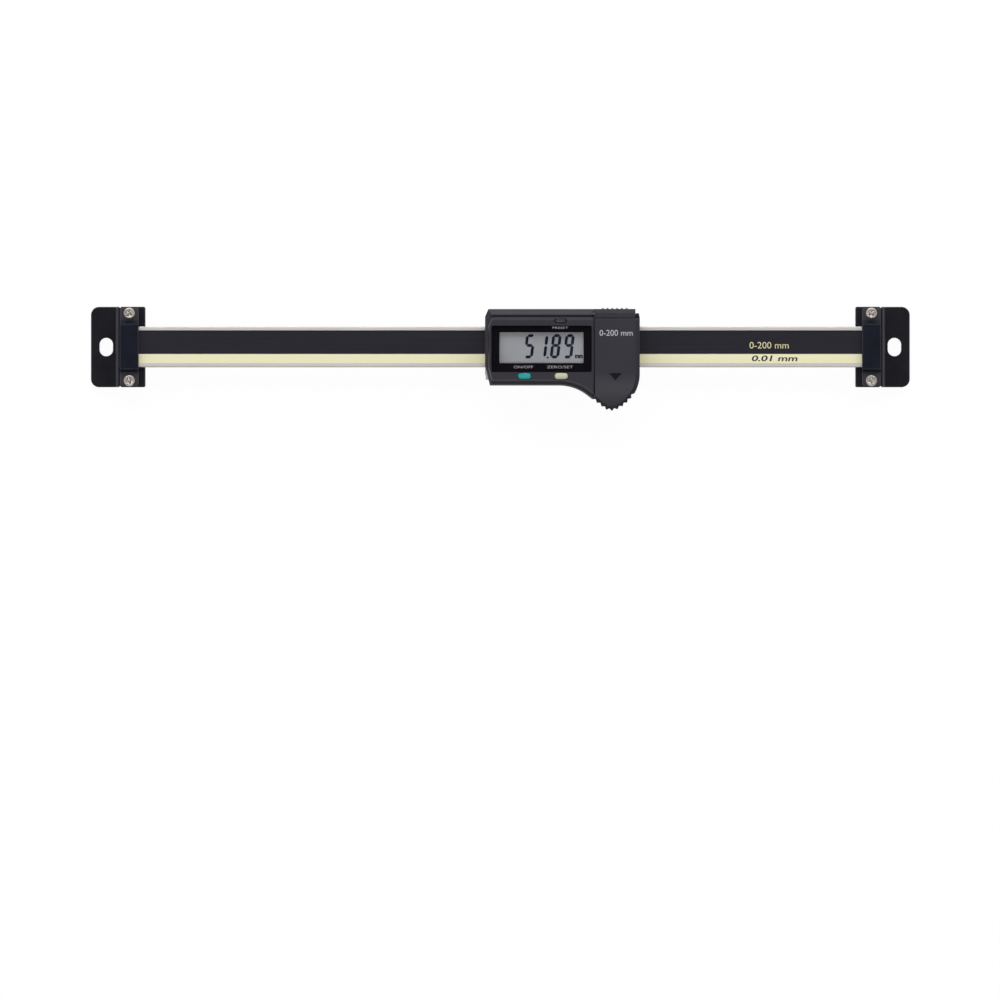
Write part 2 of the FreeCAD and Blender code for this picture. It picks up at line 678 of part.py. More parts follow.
def cover_outside():
    """Skirt, long bevel, step, raised front and crown on the left; the deck with the lobe on the right."""
    skirt_cut = (SKIRT_CUT_X, SKIRT_CUT_Y)
    front_cut = (FRONT_CUT_X, FRONT_CUT_Y)
    z_shoulder = Z_TIER - BEVEL_DROP
    z_crown = Z_FRONT - CROWN_HEIGHT
    top = BEVEL_TOP + STEP_TOP
    bottom = BEVEL_BOTTOM + STEP_BOTTOM
    plain = left_face(Z_SKIRT, 0, 0, 0, skirt_cut)
    shoulder = left_face(z_shoulder, 0, 0, 0, skirt_cut)
    ledge = left_face(Z_TIER, BEVEL_SIDE, BEVEL_TOP, BEVEL_BOTTOM, front_cut)
    raised = left_face(Z_TIER, BEVEL_SIDE, top, bottom, front_cut)
    crown = left_face(z_crown, BEVEL_SIDE, top, bottom, front_cut)
    front = left_face(Z_FRONT, BEVEL_SIDE + CROWN_SIDE, top + CROWN_TOP, bottom + CROWN_BOTTOM, front_cut)
    roof = right_face(Z_FRAME, 0, COVER_TOP, LID_LINE, True).extrude(Vector(0, 0, CORNER_ROOF))
    x_roof = LID_LINE + CAP_LENGTH + FIT
    body = plain.extrude(Vector(0, 0, z_shoulder - Z_SKIRT))
    body = body.fuse([
        between(shoulder, ledge),
        raised.extrude(Vector(0, 0, z_crown - Z_TIER)),
        between(crown, front),
        right_face(Z_SKIRT, 0, COVER_TOP, LID_LINE, True).extrude(Vector(0, 0, Z_FRAME - Z_SKIRT)),
        right_face(Z_FRAME, 0, DATA_WALL, LID_LINE, False).extrude(Vector(0, 0, Z_DECK - Z_FRAME)),
        roof.common(box(x_roof, COVER_END, LID_TOP, COVER_TOP, Z_FRAME, Z_FRAME + CORNER_ROOF)),
    ])
    return body.removeSplitter().cut(step_gutter())


def step_gutter():
    """Wedge that lets the step along the top fall away towards the raised front."""
    x = -COVER_END - COVER_WALL
    y1 = COVER_TOP - BEVEL_TOP
    y0 = y1 - STEP_TOP
    wedge = polygon([(x, y1, Z_TIER), (x, y0, Z_TIER - STEP_FALL), (x, y0, Z_FRONT), (x, y1, Z_FRONT)])
    return wedge.extrude(Vector(LID_LINE - x, 0, 0))


def cover_hollows():
    """Everything the cover is hollow for, apart from the battery well."""
    x_left = -COVER_END + END_THICKNESS
    x_mid = LID_LINE - COVER_WALL
    x_right = COVER_END - LOBE_WALL
    y_low = -COVER_HALF + BEVEL_BOTTOM + STEP_BOTTOM + LOW_RIB
    y_high = COVER_TOP - BEVEL_TOP - STEP_TOP - HIGH_RIB
    view_x = VIEW_LENGTH / 2 + VIEW_EASE
    view_y = VIEW_WIDTH / 2 + VIEW_EASE
    win_x = WINDOW_LENGTH / 2
    win_y = WINDOW_WIDTH / 2
    z_low = Z_DECK_BACK
    hollows = [
        box(-COVER_END - 1, COVER_END + 1, -COVER_IN, COVER_IN, Z_SKIRT - 1, Z_FRAME),
        box(x_left, x_mid, -COVER_IN, COVER_IN, Z_FRAME - 0.1, z_low),
        box(x_left + BEVEL_SIDE, x_mid, y_low, y_high, z_low - 0.1, Z_ROOF),
        box(x_mid - 0.1, x_right, -COVER_IN, DATA_WALL - COVER_WALL, Z_FRAME - 0.1, Z_DECK_BACK),
        rounded_plate(
            WINDOW_X - win_x, WINDOW_X + win_x, WINDOW_Y - win_y, WINDOW_Y + win_y,
            Z_LENS_SEAT, Z_FRONT + 1, WINDOW_CORNER),
        box(WINDOW_X - view_x, WINDOW_X + view_x, VIEW_Y - view_y, VIEW_Y + view_y, Z_ROOF - 1, Z_FRONT),
    ]
    for x, y, length, width in button_places():
        half = length / 2 + FLANGE_EAR + GAP
        side = width / 2 + FIT
        hollows.append(oblong(x, y, length + 2 * FIT, width + 2 * FIT, Z_ROOF - 1, Z_FRONT + 1))
        hollows.append(box(x - half, x + half, y - side, y + side, z_low - 0.1, Z_ROOF))
    return hollows


def battery_well():
    """Ring, hollow and contact slots of the battery well."""
    ring = post(BATTERY_X, BATTERY_Y, RING_RADIUS, Z_SKIRT, Z_DECK)
    half = PLUS_HALF + RUN
    minus = MINUS_HALF + 2 * RUN
    y_wall = BATTERY_Y + BATTERY_DIAMETER / 2
    y_tab = BATTERY_Y + RING_RADIUS + 2 * GAP
    x0, x1 = BATTERY_X - half, BATTERY_X + half
    pocket = [
        post(BATTERY_X, BATTERY_Y, WELL_RADIUS, Z_SKIRT + WELL_FLOOR, Z_DECK + 1),
        box(x0, x1, y_wall - 1, y_wall + 2 * CONTACT_THICKNESS, Z_PARTS - RUN, Z_DECK + 1),
        box(x0, x1, y_wall - 1, y_tab, Z_PARTS - RUN, Z_FRAME),
        box(MINUS_X - minus, MINUS_X + minus, BATTERY_Y, y_tab, Z_SKIRT + WELL_FLOOR, Z_FRAME),
    ]
    return ring, pocket


def lid_tongue_slot(margin):
    """Tongue along the lid's left edge, or with a margin the groove that it runs in."""
    z = Z_FRONT - ROOF_THICKNESS - TONGUE_SIZE
    y_end = LID_TOP - TONGUE_SET_BACK + margin
    y_start = lobe_centres()[1][1] - TIP_RADIUS if margin else -COVER_HALF - 0.5
    x_end = LID_LINE + TONGUE_ROOT
    return box(
        LID_LINE - TONGUE_SIZE - margin + RUN, x_end, y_start, y_end, z - margin, z + TONGUE_SIZE + margin)


def lid_skirt_room(margin):
    """Rebate and lip groove on the right of the cover, or without a margin the space of the skirt."""
    x = COVER_END - SKIRT_THICKNESS - margin
    z = Z_DECK - SKIRT_DROP
    y_rebate = lobe_centres()[1][1] - 2 * TIP_RADIUS
    y_low = y_rebate if margin else FLANK_START
    rebate = box(x, COVER_END + 1, y_rebate, DATA_WALL + 1 if margin else LID_TOP, z - margin, Z_DECK + 1)
    y_high = LID_TOP - TONGUE_SET_BACK + margin
    lip = box(x - LIP_REACH, x + RUN, y_low, y_high, z - margin, z + LIP_HEIGHT + margin)
    return rebate, lip


def port_slot():
    half = PORT_LENGTH / 2 + 2 * RUN
    z1 = Z_PARTS + PORT_HEIGHT + FIT
    return box(PORT_X - half, PORT_X + half, PORT_BACK - FIT, COVER_HALF, Z_FRAME - 0.1, z1)


def prong_places():
    reach = PORT_LENGTH / 2 + PRONG_GAP
    return [PORT_X - reach, PORT_X + reach]


def prong(x, margin):
    z = Z_FRAME + PRONG_RISE
    half = PRONG_WIDTH / 2 + margin
    y_back = DATA_WALL - COVER_WALL - PRONG_HOOK - margin
    return box(x - half, x + half, y_back, DATA_WALL + 1, z - margin, z + PRONG_WIDTH + margin)


def make_cover():
    outside = cover_outside()
    ring, pocket = battery_well()
    bosses = []
    half = BOSS_SIZE / 2
    for x, y in corner_places(BODY_SCREW_X, BODY_SCREW_Y):
        top = Z_ROOF - 1 if x < 0 else Z_DECK_BACK + 0.5
        bosses.append(box(x - half, x + half, y - half, y + half, Z_FRAME, top))
    cover = outside.cut(cover_hollows())
    cover = cover.fuse([ring.common(outside)] + [b.common(outside) for b in bosses]).removeSplitter()
    tools = pocket + list(lid_skirt_room(RUN)) + [lid_tongue_slot(RUN), port_slot()]
    tools += [prong(x, FIT) for x in prong_places()]
    tools += [
        post(x, y, BODY_SCREW / 2 + THREAD, Z_FRAME - 1, Z_FRAME + BODY_SCREW_GRIP + FIT)
        for x, y in corner_places(BODY_SCREW_X, BODY_SCREW_Y)
    ]
    return cover.cut(tools + serrations().Solids).removeSplitter()


# Battery lid: falls away in a long curve towards its serrated lobe
def front_edges(lid, wanted):
    """Edges around the lid's front whose boxes meet a test."""
    low = Z_DECK + LID_WALL / 2
    boxes = [(e, e.BoundBox) for e in lid.Edges]
    return [e for e, b in boxes if b.ZMin > low and b.XLength + b.YLength > FIT and wanted(b)]


def make_lid():
    z0 = Z_DECK + RUN
    left = LID_LINE + FIT
    lid = right_face(z0, 0, LID_TOP, left, False).extrude(Vector(0, 0, Z_FRONT - z0))
    lid = lid.cut(fall_tool())
    rim = front_edges(lid, lambda b: b.XMax > left + FIT and b.YLength > FIT)
    lid = lid.makeChamfer(LID_RIM_DROP, LID_RIM_WIDTH, rim)
    breaks = front_edges(lid, lambda b: b.XMax < left + FIT or b.YMin > LID_TOP - FIT)
    lid = lid.makeChamfer(LID_BREAK, breaks)
    x_in = left + LID_WALL
    x_out = COVER_END - LID_WALL - 0.6
    lid = lid.cut(box(x_in, x_out, -COVER_HALF + 1, LID_TOP - LID_WALL, z0 - 1, Z_FRONT - LID_WALL))
    rebate, lip = lid_skirt_room(0)
    z_skirt = Z_DECK - SKIRT_DROP
    skirt = right_face(z_skirt, 0, LID_TOP, left, False).extrude(Vector(0, 0, Z_DECK + 0.5 - z_skirt))
    lid = lid.fuse([skirt.common(rebate), lip, lid_tongue_slot(0)]).removeSplitter()
    return lid.cut(serrations().Solids)


def fall_tool():
    """What is cut away above the curve that the lid's front follows towards the tip."""
    y0 = LID_FALL_START
    y2 = y0 - LID_FALL_LENGTH
    y1 = (y0 + y2) / 2
    r = LID_FALL_RADIUS

    def z_at(y):
        return Z_FRONT - r + math.sqrt(r * r - (y - y0) ** 2)

    x = LID_LINE - LID_WALL
    curve = Part.Arc(Vector(x, y0, Z_FRONT), Vector(x, y1, z_at(y1)), Vector(x, y2, z_at(y2))).toShape()
    top = Z_FRONT + 3
    edges = [
        curve,
        Part.makeLine(Vector(x, y2, z_at(y2)), Vector(x, y2, top)),
        Part.makeLine(Vector(x, y2, top), Vector(x, y0, top)),
        Part.makeLine(Vector(x, y0, top), Vector(x, y0, Z_FRONT)),
    ]
    return Part.Face(Part.Wire(edges)).extrude(Vector(LID_LENGTH + 2 * LID_WALL, 0, 0))


# Cover of the data outlet, with a ridged upper edge
def make_data_cover():
    x0 = LID_LINE + FIT
    x1 = LID_LINE + CAP_LENGTH
    y0 = DATA_WALL + RUN
    y1 = COVER_TOP
    z0 = Z_FRAME + FIT
    z1 = Z_FRONT - CAP_SUNK
    b = CAP_BEVEL
    profile = [(x0, y0, z0), (x0, y1, z0), (x0, y1, z1 - b), (x0, y1 - b, z1), (x0, y0, z1)]
    cap = polygon(profile).extrude(Vector(x1 - x0, 0, 0))
    middle = (x0 + x1) / 2
    for i in range(CAP_RIDGES):
        x = middle + (i - (CAP_RIDGES - 1) / 2) * CAP_RIDGE_PITCH
        half = CAP_RIDGE_HEIGHT * 1.2
        ridge = polygon([(x - half, y1 - 0.1, z0), (x + half, y1 - 0.1, z0), (x, y1 + CAP_RIDGE_HEIGHT, z0)])
        cap = cap.fuse(ridge.extrude(Vector(0, 0, z1 - b - z0)))
    half = PORT_LENGTH / 2 + 4 * RUN
    cap = cap.cut(box(PORT_X - half, PORT_X + half, y0 - 1, y1 - CAP_WALL, z0 - 1, z1 - CAP_ROOF))
    for x in prong_places():
        cap = cap.fuse(prong(x, 0))
    return cap.removeSplitter()


# Display
def make_window():
    half_x = WINDOW_LENGTH / 2 - SEAT
    half_y = WINDOW_WIDTH / 2 - SEAT
    x0, x1 = WINDOW_X - half_x, WINDOW_X + half_x
    y0, y1 = WINDOW_Y - half_y, WINDOW_Y + half_y
    z1 = Z_LENS_SEAT + MASK_THICKNESS
    mask = rounded_plate(x0, x1, y0, y1, Z_LENS_SEAT, z1, WINDOW_CORNER - SEAT)
    mask = mask.cut(box(
        WINDOW_X - VIEW_LENGTH / 2, WINDOW_X + VIEW_LENGTH / 2,
        VIEW_Y - VIEW_WIDTH / 2, VIEW_Y + VIEW_WIDTH / 2, Z_LENS_SEAT - 1, z1 + 1))
    lens = rounded_plate(x0, x1, y0, y1, z1, z1 + LENS_THICKNESS, WINDOW_CORNER - SEAT)
    return mask, lens


def centred(length, width, z0, z1):
    """Block centred under the viewing area."""
    return box(WINDOW_X - length / 2, WINDOW_X + length / 2, VIEW_Y - width / 2, VIEW_Y + width / 2, z0, z1)


def make_display():
    """Panel, the holder that the cover presses down on the board, and the two conductive strips."""
    z_seat = Z_GLASS - GLASS_THICKNESS
    glass = centred(GLASS_LENGTH, GLASS_WIDTH, z_seat, Z_GLASS)
    add = 2 * (HOLDER_WALL + RUN)
    holder = centred(GLASS_LENGTH + add, GLASS_WIDTH + add, Z_PARTS, Z_ROOF)
    holder = holder.cut(centred(GLASS_LENGTH + 2 * RUN, GLASS_WIDTH + 2 * RUN, z_seat, Z_ROOF + 1))
    inner_length = GLASS_LENGTH - 2 * HOLDER_LEDGE
    inner_width = GLASS_WIDTH - 2 * HOLDER_LEDGE
    holder = holder.cut(centred(inner_length, inner_width, Z_PARTS - 1, Z_GLASS))
    strips = []
    for s in (-1, 1):
        strip = centred(inner_length - 0.6, CONTACT_STRIP_WIDTH, Z_PARTS, z_seat)
        strip.translate(Vector(0, s * (inner_width / 2 - CONTACT_STRIP_WIDTH / 2 - RUN), 0))
        strips.append(strip)
    return glass, holder, Part.makeCompound(strips)


# Board, chip, battery and contacts
def make_board():
    board = box(BOARD_LEFT, BOARD_RIGHT, -RAIL_OUT + GAP, RAIL_OUT - GAP, Z_BOARD, Z_PARTS)
    return board.cut(relief())


def make_chip():
    half = CHIP_SIZE / 2
    chip = box(CHIP_X - half, CHIP_X + half, -half, half, Z_PARTS, Z_PARTS + CHIP_HEIGHT)
    return chip.makeChamfer(0.25, edges_at(chip, Z_PARTS + CHIP_HEIGHT))


def make_battery():
    z1 = Z_CELL + BATTERY_HEIGHT
    cell = post(BATTERY_X, BATTERY_Y, BATTERY_DIAMETER / 2, Z_CELL + 0.5, z1)
    cap = post(BATTERY_X, BATTERY_Y, BATTERY_DIAMETER / 2 - 0.9, Z_CELL, Z_CELL + 0.5)
    return cell.fuse(cap).removeSplitter()


def make_contacts():
    """Side contact for the can and floor contact for the cap, each with a tab on the board."""
    t = CONTACT_THICKNESS
    y = BATTERY_Y + BATTERY_DIAMETER / 2
    y_board = BATTERY_Y + RING_RADIUS + GAP + TAB_REACH
    x0, x1 = BATTERY_X - PLUS_HALF, BATTERY_X + PLUS_HALF
    plus = box(x0, x1, y + SEAT, y + SEAT + t, Z_PARTS, Z_DECK - 0.4)
    plus = plus.fuse(box(x0, x1, y + SEAT, y_board, Z_PARTS, Z_PARTS + t)).removeSplitter()
    m0, m1 = MINUS_X - MINUS_HALF, MINUS_X + MINUS_HALF
    z0 = Z_SKIRT + WELL_FLOOR
    y_rise = y - 0.1
    minus = box(m0, m1, BATTERY_Y - 3, y_rise + t, z0, z0 + t)
    minus = minus.fuse([
        box(m0, m1, y_rise, y_rise + t, z0, Z_PARTS + t),
        box(m0, m1, y_rise, y_board, Z_PARTS, Z_PARTS + t),
    ]).removeSplitter()
    return plus, minus


def make_port():
    half = PORT_LENGTH / 2
    z1 = Z_PARTS + PORT_HEIGHT
    w = 0.7
    port = box(PORT_X - half, PORT_X + half, PORT_BACK, PORT_FACE, Z_PARTS, z1)
    mouth_back = (PORT_BACK + PORT_FACE) / 2
    mouth = half - w
    return port.cut(box(PORT_X - mouth, PORT_X + mouth, mouth_back, PORT_FACE + 1, Z_PARTS + w, z1 - w))


# Buttons and the domes that they press
def make_button(x, y, length, width, top):
    z0 = Z_ROOF - RUN - FLANGE_HEIGHT
    key = oblong(x, y, length, width, z0, top)
    half = length / 2 + FLANGE_EAR
    ears = box(x - half, x + half, y - width / 2, y + width / 2, z0, Z_ROOF - RUN)
    p = PLUNGER_SIZE / 2
    return key.fuse([ears, box(x - p, x + p, y - p, y + p, Z_DOME + SEAT, z0)]).removeSplitter()


def make_dome(x, y):
    """Sprung dome on four corners."""
    h = DOME_SIZE / 2
    t = DOME_TOP / 2
    dome = Part.makeWedge(-h, 0, -h, -t, -t, h, DOME_HEIGHT, h, t, t)
    dome.rotate(Vector(0, 0, 0), Vector(1, 0, 0), 90)
    dome.translate(Vector(x, y, Z_PARTS))
    return dome


os.makedirs("parts", exist_ok=True)

substrate, film, band = make_scale()
mask, lens = make_window()
glass, holder, strips = make_display()
plus, minus = make_contacts()
on_off, zero, origin = button_places()

save("main_beam", make_beam())
save("scale_substrate", substrate)
save("scale_cover_film", film)
save("index_band", band)
save_ends("end_foot", make_foot())
save_ends("end_clamp", make_clamp())
save("clamp_screws", make_clamp_screws())

save_slider("slider_frame", make_frame())
save_slider("slider_back_plate", make_plate())
save_slider("body_screws", make_body_screws())
save_slider("gib_strip", make_gib())
save_slider("gib_screws", make_gib_screws())
save_slider("front_cover", make_cover())
save_slider("window_mask", mask)
save_slider("window_lens", lens)
save_slider("lcd_glass", glass)
save_slider("lcd_holder", holder)
save_slider("lcd_contact_strips", strips)
save_slider("reader_board", make_board())
save_slider("controller_chip", make_chip())
save_slider("battery_cell", make_battery())
save_slider("battery_contact_plus", plus)
save_slider("battery_contact_minus", minus)
save_slider("data_connector", make_port())
save_slider("on_off_dome", make_dome(on_off[0], on_off[1]))
save_slider("zero_dome", make_dome(zero[0], zero[1]))
save_slider("origin_dome", make_dome(origin[0], origin[1]))

save_slider("on_off_button", make_button(*on_off, Z_FRONT + BUTTON_PROUD))
save_slider("zero_button", make_button(*zero, Z_FRONT + BUTTON_PROUD))
save_slider("origin_button", make_button(*origin, Z_FRONT - ORIGIN_SUNK))
save_slider("battery_lid", make_lid())
save_slider("data_port_cover", make_data_cover())
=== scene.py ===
import math

import bmesh
import bpy
import numpy as np
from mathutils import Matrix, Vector


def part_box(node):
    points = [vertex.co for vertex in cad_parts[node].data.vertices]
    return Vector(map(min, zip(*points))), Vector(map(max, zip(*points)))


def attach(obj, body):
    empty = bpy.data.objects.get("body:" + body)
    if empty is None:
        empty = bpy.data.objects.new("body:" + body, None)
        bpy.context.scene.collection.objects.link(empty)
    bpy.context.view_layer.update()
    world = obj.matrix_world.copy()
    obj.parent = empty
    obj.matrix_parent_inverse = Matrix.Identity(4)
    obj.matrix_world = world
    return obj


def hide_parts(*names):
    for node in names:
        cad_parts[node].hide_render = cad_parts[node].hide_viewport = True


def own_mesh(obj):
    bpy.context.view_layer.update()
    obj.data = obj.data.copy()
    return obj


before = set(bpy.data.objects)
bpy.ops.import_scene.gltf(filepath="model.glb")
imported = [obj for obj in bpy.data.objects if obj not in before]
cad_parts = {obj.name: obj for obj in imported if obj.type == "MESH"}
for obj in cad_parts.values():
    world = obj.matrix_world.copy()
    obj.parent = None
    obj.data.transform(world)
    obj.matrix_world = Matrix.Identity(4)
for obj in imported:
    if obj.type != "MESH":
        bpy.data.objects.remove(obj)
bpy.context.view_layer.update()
MM = 0.001


# Small tools shared by the materials and the pieces

# Places of the Mix node's sockets, whose names repeat: factor, two numbers, two colours, the mixed colour
FACTOR, NUMBER_A, NUMBER_B, COLOUR_A, COLOUR_B, MIXED_COLOUR = 0, 2, 3, 6, 7, 2
# Where most values of a noise lie, and the cosine between a rounded edge and its face, from flat to the
# lighter edge colour, which is partly wear and partly painted highlight
NOISE_SPAN = {"From Min": 0.3, "From Max": 0.7}
EDGE_SPAN = {"From Min": 0.995, "From Max": 0.8}


def linear(code):
    """An sRGB hex colour as linear red, green, blue and a full alpha."""
    c = np.array([int(code[i:i + 2], 16) for i in (1, 3, 5)]) / 255
    c = np.where(c <= 0.04045, c / 12.92, ((c + 0.055) / 1.055) ** 2.4)
    return (*c.tolist(), 1.0)


def add(tree, kind, inputs=None, **settings):
    """Add a node: settings are its properties, and inputs map a socket to a value or to the output that
    feeds it."""
    node = tree.nodes.new(kind)
    for name, value in settings.items():
        setattr(node, name, value)
    for key, value in (inputs or {}).items():
        if isinstance(value, bpy.types.NodeSocket):
            tree.links.new(value, node.inputs[key])
        else:
            node.inputs[key].default_value = value
    return node


def new_material(name):
    """An empty material and its node tree."""
    made = bpy.data.materials.new(name)
    made.use_nodes = True
    made.node_tree.nodes.clear()
    return made, made.node_tree


def per_mm(size):
    """Pattern scale, per metre, whose features are this many millimetres long."""
    return 1000.0 / size


# Materials. Grain, hairlines, screen mesh and sparkle are finer on the real ones, and are drawn as coarse as
# they need to be to show.

def moulded_plastic(
        name, code, deep, grain=0.35, rough=(0.42, 0.58), bump=0.25, edge=None, level=0.5, radius=0.25):
    """Injection moulded plastic. The tool's spark-eroded skin gives a fine even grain that scatters the
    highlights, slow drifts in tone, and edges that are a little lighter, partly wear where hands touch them
    and partly painted highlight."""
    made, t = new_material(name)
    at = add(t, "ShaderNodeTexCoord").outputs["Object"]
    fine = add(t, "ShaderNodeTexNoise", {
        "Vector": at, "Scale": per_mm(grain), "Detail": 3.0, "Roughness": 0.6})
    slow = add(t, "ShaderNodeTexNoise", {"Vector": at, "Scale": per_mm(14.0), "Detail": 2.0})
    drift = add(t, "ShaderNodeMapRange", {"Value": slow.outputs["Fac"], **NOISE_SPAN})
    tone = add(t, "ShaderNodeMix", {
        FACTOR: drift.outputs["Result"], COLOUR_A: linear(deep), COLOUR_B: linear(code)}, data_type="RGBA")
    round_edge = add(t, "ShaderNodeBevel", {"Radius": radius * MM}, samples=4)
    flat = add(t, "ShaderNodeNewGeometry").outputs["Normal"]
    turn = add(t, "ShaderNodeVectorMath", {
        0: round_edge.outputs["Normal"], 1: flat}, operation="DOT_PRODUCT")
    # Lighter edges: partly handling wear, partly painted highlight along the edges
    wear_and_highlight = add(t, "ShaderNodeMapRange", {"Value": turn.outputs["Value"], **EDGE_SPAN, "To Max": 0.6})
    colour = add(t, "ShaderNodeMix", {
        FACTOR: wear_and_highlight.outputs["Result"], COLOUR_A: tone.outputs[MIXED_COLOUR],
        COLOUR_B: linear(edge or code)}, data_type="RGBA")
    gloss = add(t, "ShaderNodeMapRange", {
        "Value": fine.outputs["Fac"], "To Min": rough[0], "To Max": rough[1]})
    relief = add(t, "ShaderNodeBump", {
        "Height": fine.outputs["Fac"], "Strength": bump, "Distance": 0.02 * MM,
        "Normal": round_edge.outputs["Normal"]})
    shader = add(t, "ShaderNodeBsdfPrincipled", {
        "Base Color": colour.outputs[MIXED_COLOUR], "Roughness": gloss.outputs["Result"], "IOR": 1.53,
        "Specular IOR Level": level, "Normal": relief.outputs["Normal"]})
    add(t, "ShaderNodeOutputMaterial", {"Surface": shader.outputs[0]})
    return made


def brushed_metal(name, code, deep, rough=(0.30, 0.46), line=0.14, run=26.0):
    """Rolled or ground metal, brushed along the beam. Long hairlines break its reflection into bright and
    dull streaks, so it looks pale and soft across the lines and sharper along them."""
    made, t = new_material(name)
    at = add(t, "ShaderNodeTexCoord").outputs["Object"]
    along = add(t, "ShaderNodeMapping", {
        "Vector": at, "Scale": (per_mm(run), per_mm(line), per_mm(line))})
    hair = add(t, "ShaderNodeTexNoise", {
        "Vector": along.outputs[0], "Scale": 1.0, "Detail": 4.0, "Roughness": 0.65})
    slow = add(t, "ShaderNodeTexNoise", {"Vector": at, "Scale": per_mm(22.0), "Detail": 2.0})
    both = add(t, "ShaderNodeMix", {
        FACTOR: 0.35, NUMBER_A: hair.outputs["Fac"], NUMBER_B: slow.outputs["Fac"]}, data_type="FLOAT")
    span = add(t, "ShaderNodeMapRange", {"Value": both.outputs[0], **NOISE_SPAN})
    colour = add(t, "ShaderNodeMix", {
        FACTOR: span.outputs["Result"], COLOUR_A: linear(deep), COLOUR_B: linear(code)}, data_type="RGBA")
    gloss = add(t, "ShaderNodeMapRange", {
        "Value": hair.outputs["Fac"], "To Min": rough[0], "To Max": rough[1]})
    round_edge = add(t, "ShaderNodeBevel", {"Radius": 0.2 * MM}, samples=4)
    lines = add(t, "ShaderNodeBump", {
        "Height": hair.outputs["Fac"], "Strength": 0.2, "Distance": 0.006 * MM,
        "Normal": round_edge.outputs["Normal"]})
    shader = add(t, "ShaderNodeBsdfPrincipled", {
        "Base Color": colour.outputs[MIXED_COLOUR], "Metallic": 1.0, "Roughness": gloss.outputs["Result"],
        "Normal": lines.outputs["Normal"]})
    add(t, "ShaderNodeOutputMaterial", {"Surface": shader.outputs[0]})
    return made


def black_oxide(name, code, deep, pale_band, radius):
    """Blackened steel, oiled. Nearly black with a cold cast, a faint grain of the ground steel below, and
    greyer lines along the edges, partly wear where the finish goes thin and partly painted highlight. A
    further stretch
    is painted a paler grey: it is given as an axis, how far from the middle it lies on both sides, its half
    width, the width over which it fades, all in millimetres, and its colour."""
    axis, centre, half, fade, bare = pale_band
    made, t = new_material(name)
    at = add(t, "ShaderNodeTexCoord").outputs["Object"]
    fine = add(t, "ShaderNodeTexNoise", {
        "Vector": at, "Scale": per_mm(0.4), "Detail": 4.0, "Roughness": 0.6})
    slow = add(t, "ShaderNodeTexNoise", {"Vector": at, "Scale": per_mm(6.0), "Detail": 3.0})
    drift = add(t, "ShaderNodeMapRange", {"Value": slow.outputs["Fac"], **NOISE_SPAN})
    tone = add(t, "ShaderNodeMix", {
        FACTOR: drift.outputs["Result"], COLOUR_A: linear(deep), COLOUR_B: linear(code)}, data_type="RGBA")
    # Pale band: on the feet a painted highlight along the block's rounded end, on the clamps a paler grey
    # over the ears
    along = add(t, "ShaderNodeSeparateXYZ", {0: at}).outputs[axis]
    out = add(t, "ShaderNodeMath", {0: along}, operation="ABSOLUTE")
    off = add(t, "ShaderNodeMath", {0: out.outputs[0], 1: centre * MM}, operation="SUBTRACT")
    apart = add(t, "ShaderNodeMath", {0: off.outputs[0]}, operation="ABSOLUTE")
    thin = add(t, "ShaderNodeMapRange", {
        "Value": apart.outputs[0], "From Min": (half + fade / 2) * MM, "From Max": (half - fade / 2) * MM})
    coat = add(t, "ShaderNodeMix", {
        FACTOR: thin.outputs["Result"], COLOUR_A: tone.outputs[MIXED_COLOUR],
        COLOUR_B: linear(bare)}, data_type="RGBA")
    round_edge = add(t, "ShaderNodeBevel", {"Radius": radius * MM}, samples=6)
    flat = add(t, "ShaderNodeNewGeometry").outputs["Normal"]
    turn = add(t, "ShaderNodeVectorMath", {
        0: round_edge.outputs["Normal"], 1: flat}, operation="DOT_PRODUCT")
    # Greyer edges: partly wear, partly painted highlight on the rounded edges
    wear_and_highlight = add(t, "ShaderNodeMapRange", {"Value": turn.outputs["Value"], **EDGE_SPAN, "To Max": 0.7})
    colour = add(t, "ShaderNodeMix", {
        FACTOR: wear_and_highlight.outputs["Result"], COLOUR_A: coat.outputs[MIXED_COLOUR],
        COLOUR_B: linear("#55545b")}, data_type="RGBA")
    gloss = add(t, "ShaderNodeMapRange", {"Value": fine.outputs["Fac"], "To Min": 0.17, "To Max": 0.27})
    relief = add(t, "ShaderNodeBump", {
        "Height": fine.outputs["Fac"], "Strength": 0.2, "Distance": 0.015 * MM,
        "Normal": round_edge.outputs["Normal"]})
    shader = add(t, "ShaderNodeBsdfPrincipled", {
        "Base Color": colour.outputs[MIXED_COLOUR], "Roughness": gloss.outputs["Result"],
        "Specular IOR Level": 0.1, "Normal": relief.outputs["Normal"]})
    add(t, "ShaderNodeOutputMaterial", {"Surface": shader.outputs[0]})
    return made


def printed_film(name, code, deep, rough, level=0.5):
    """Polyester film printed on its back. Smooth and even with a soft gloss, and faint roller lines along
    the beam."""
    made, t = new_material(name)
    at = add(t, "ShaderNodeTexCoord").outputs["Object"]
    along = add(t, "ShaderNodeMapping", {
        "Vector": at, "Scale": (per_mm(60.0), per_mm(0.6), per_mm(0.6))})
    roller = add(t, "ShaderNodeTexNoise", {"Vector": along.outputs[0], "Scale": 1.0, "Detail": 3.0})
    colour = add(t, "ShaderNodeMix", {
        FACTOR: roller.outputs["Fac"], COLOUR_A: linear(deep), COLOUR_B: linear(code)}, data_type="RGBA")
    gloss = add(t, "ShaderNodeMapRange", {
        "Value": roller.outputs["Fac"], "To Min": rough - 0.05, "To Max": rough + 0.06})
    shader = add(t, "ShaderNodeBsdfPrincipled", {
        "Base Color": colour.outputs[MIXED_COLOUR], "Roughness": gloss.outputs["Result"], "IOR": 1.5,
        "Specular IOR Level": level})
    add(t, "ShaderNodeOutputMaterial", {"Surface": shader.outputs[0]})
    return made


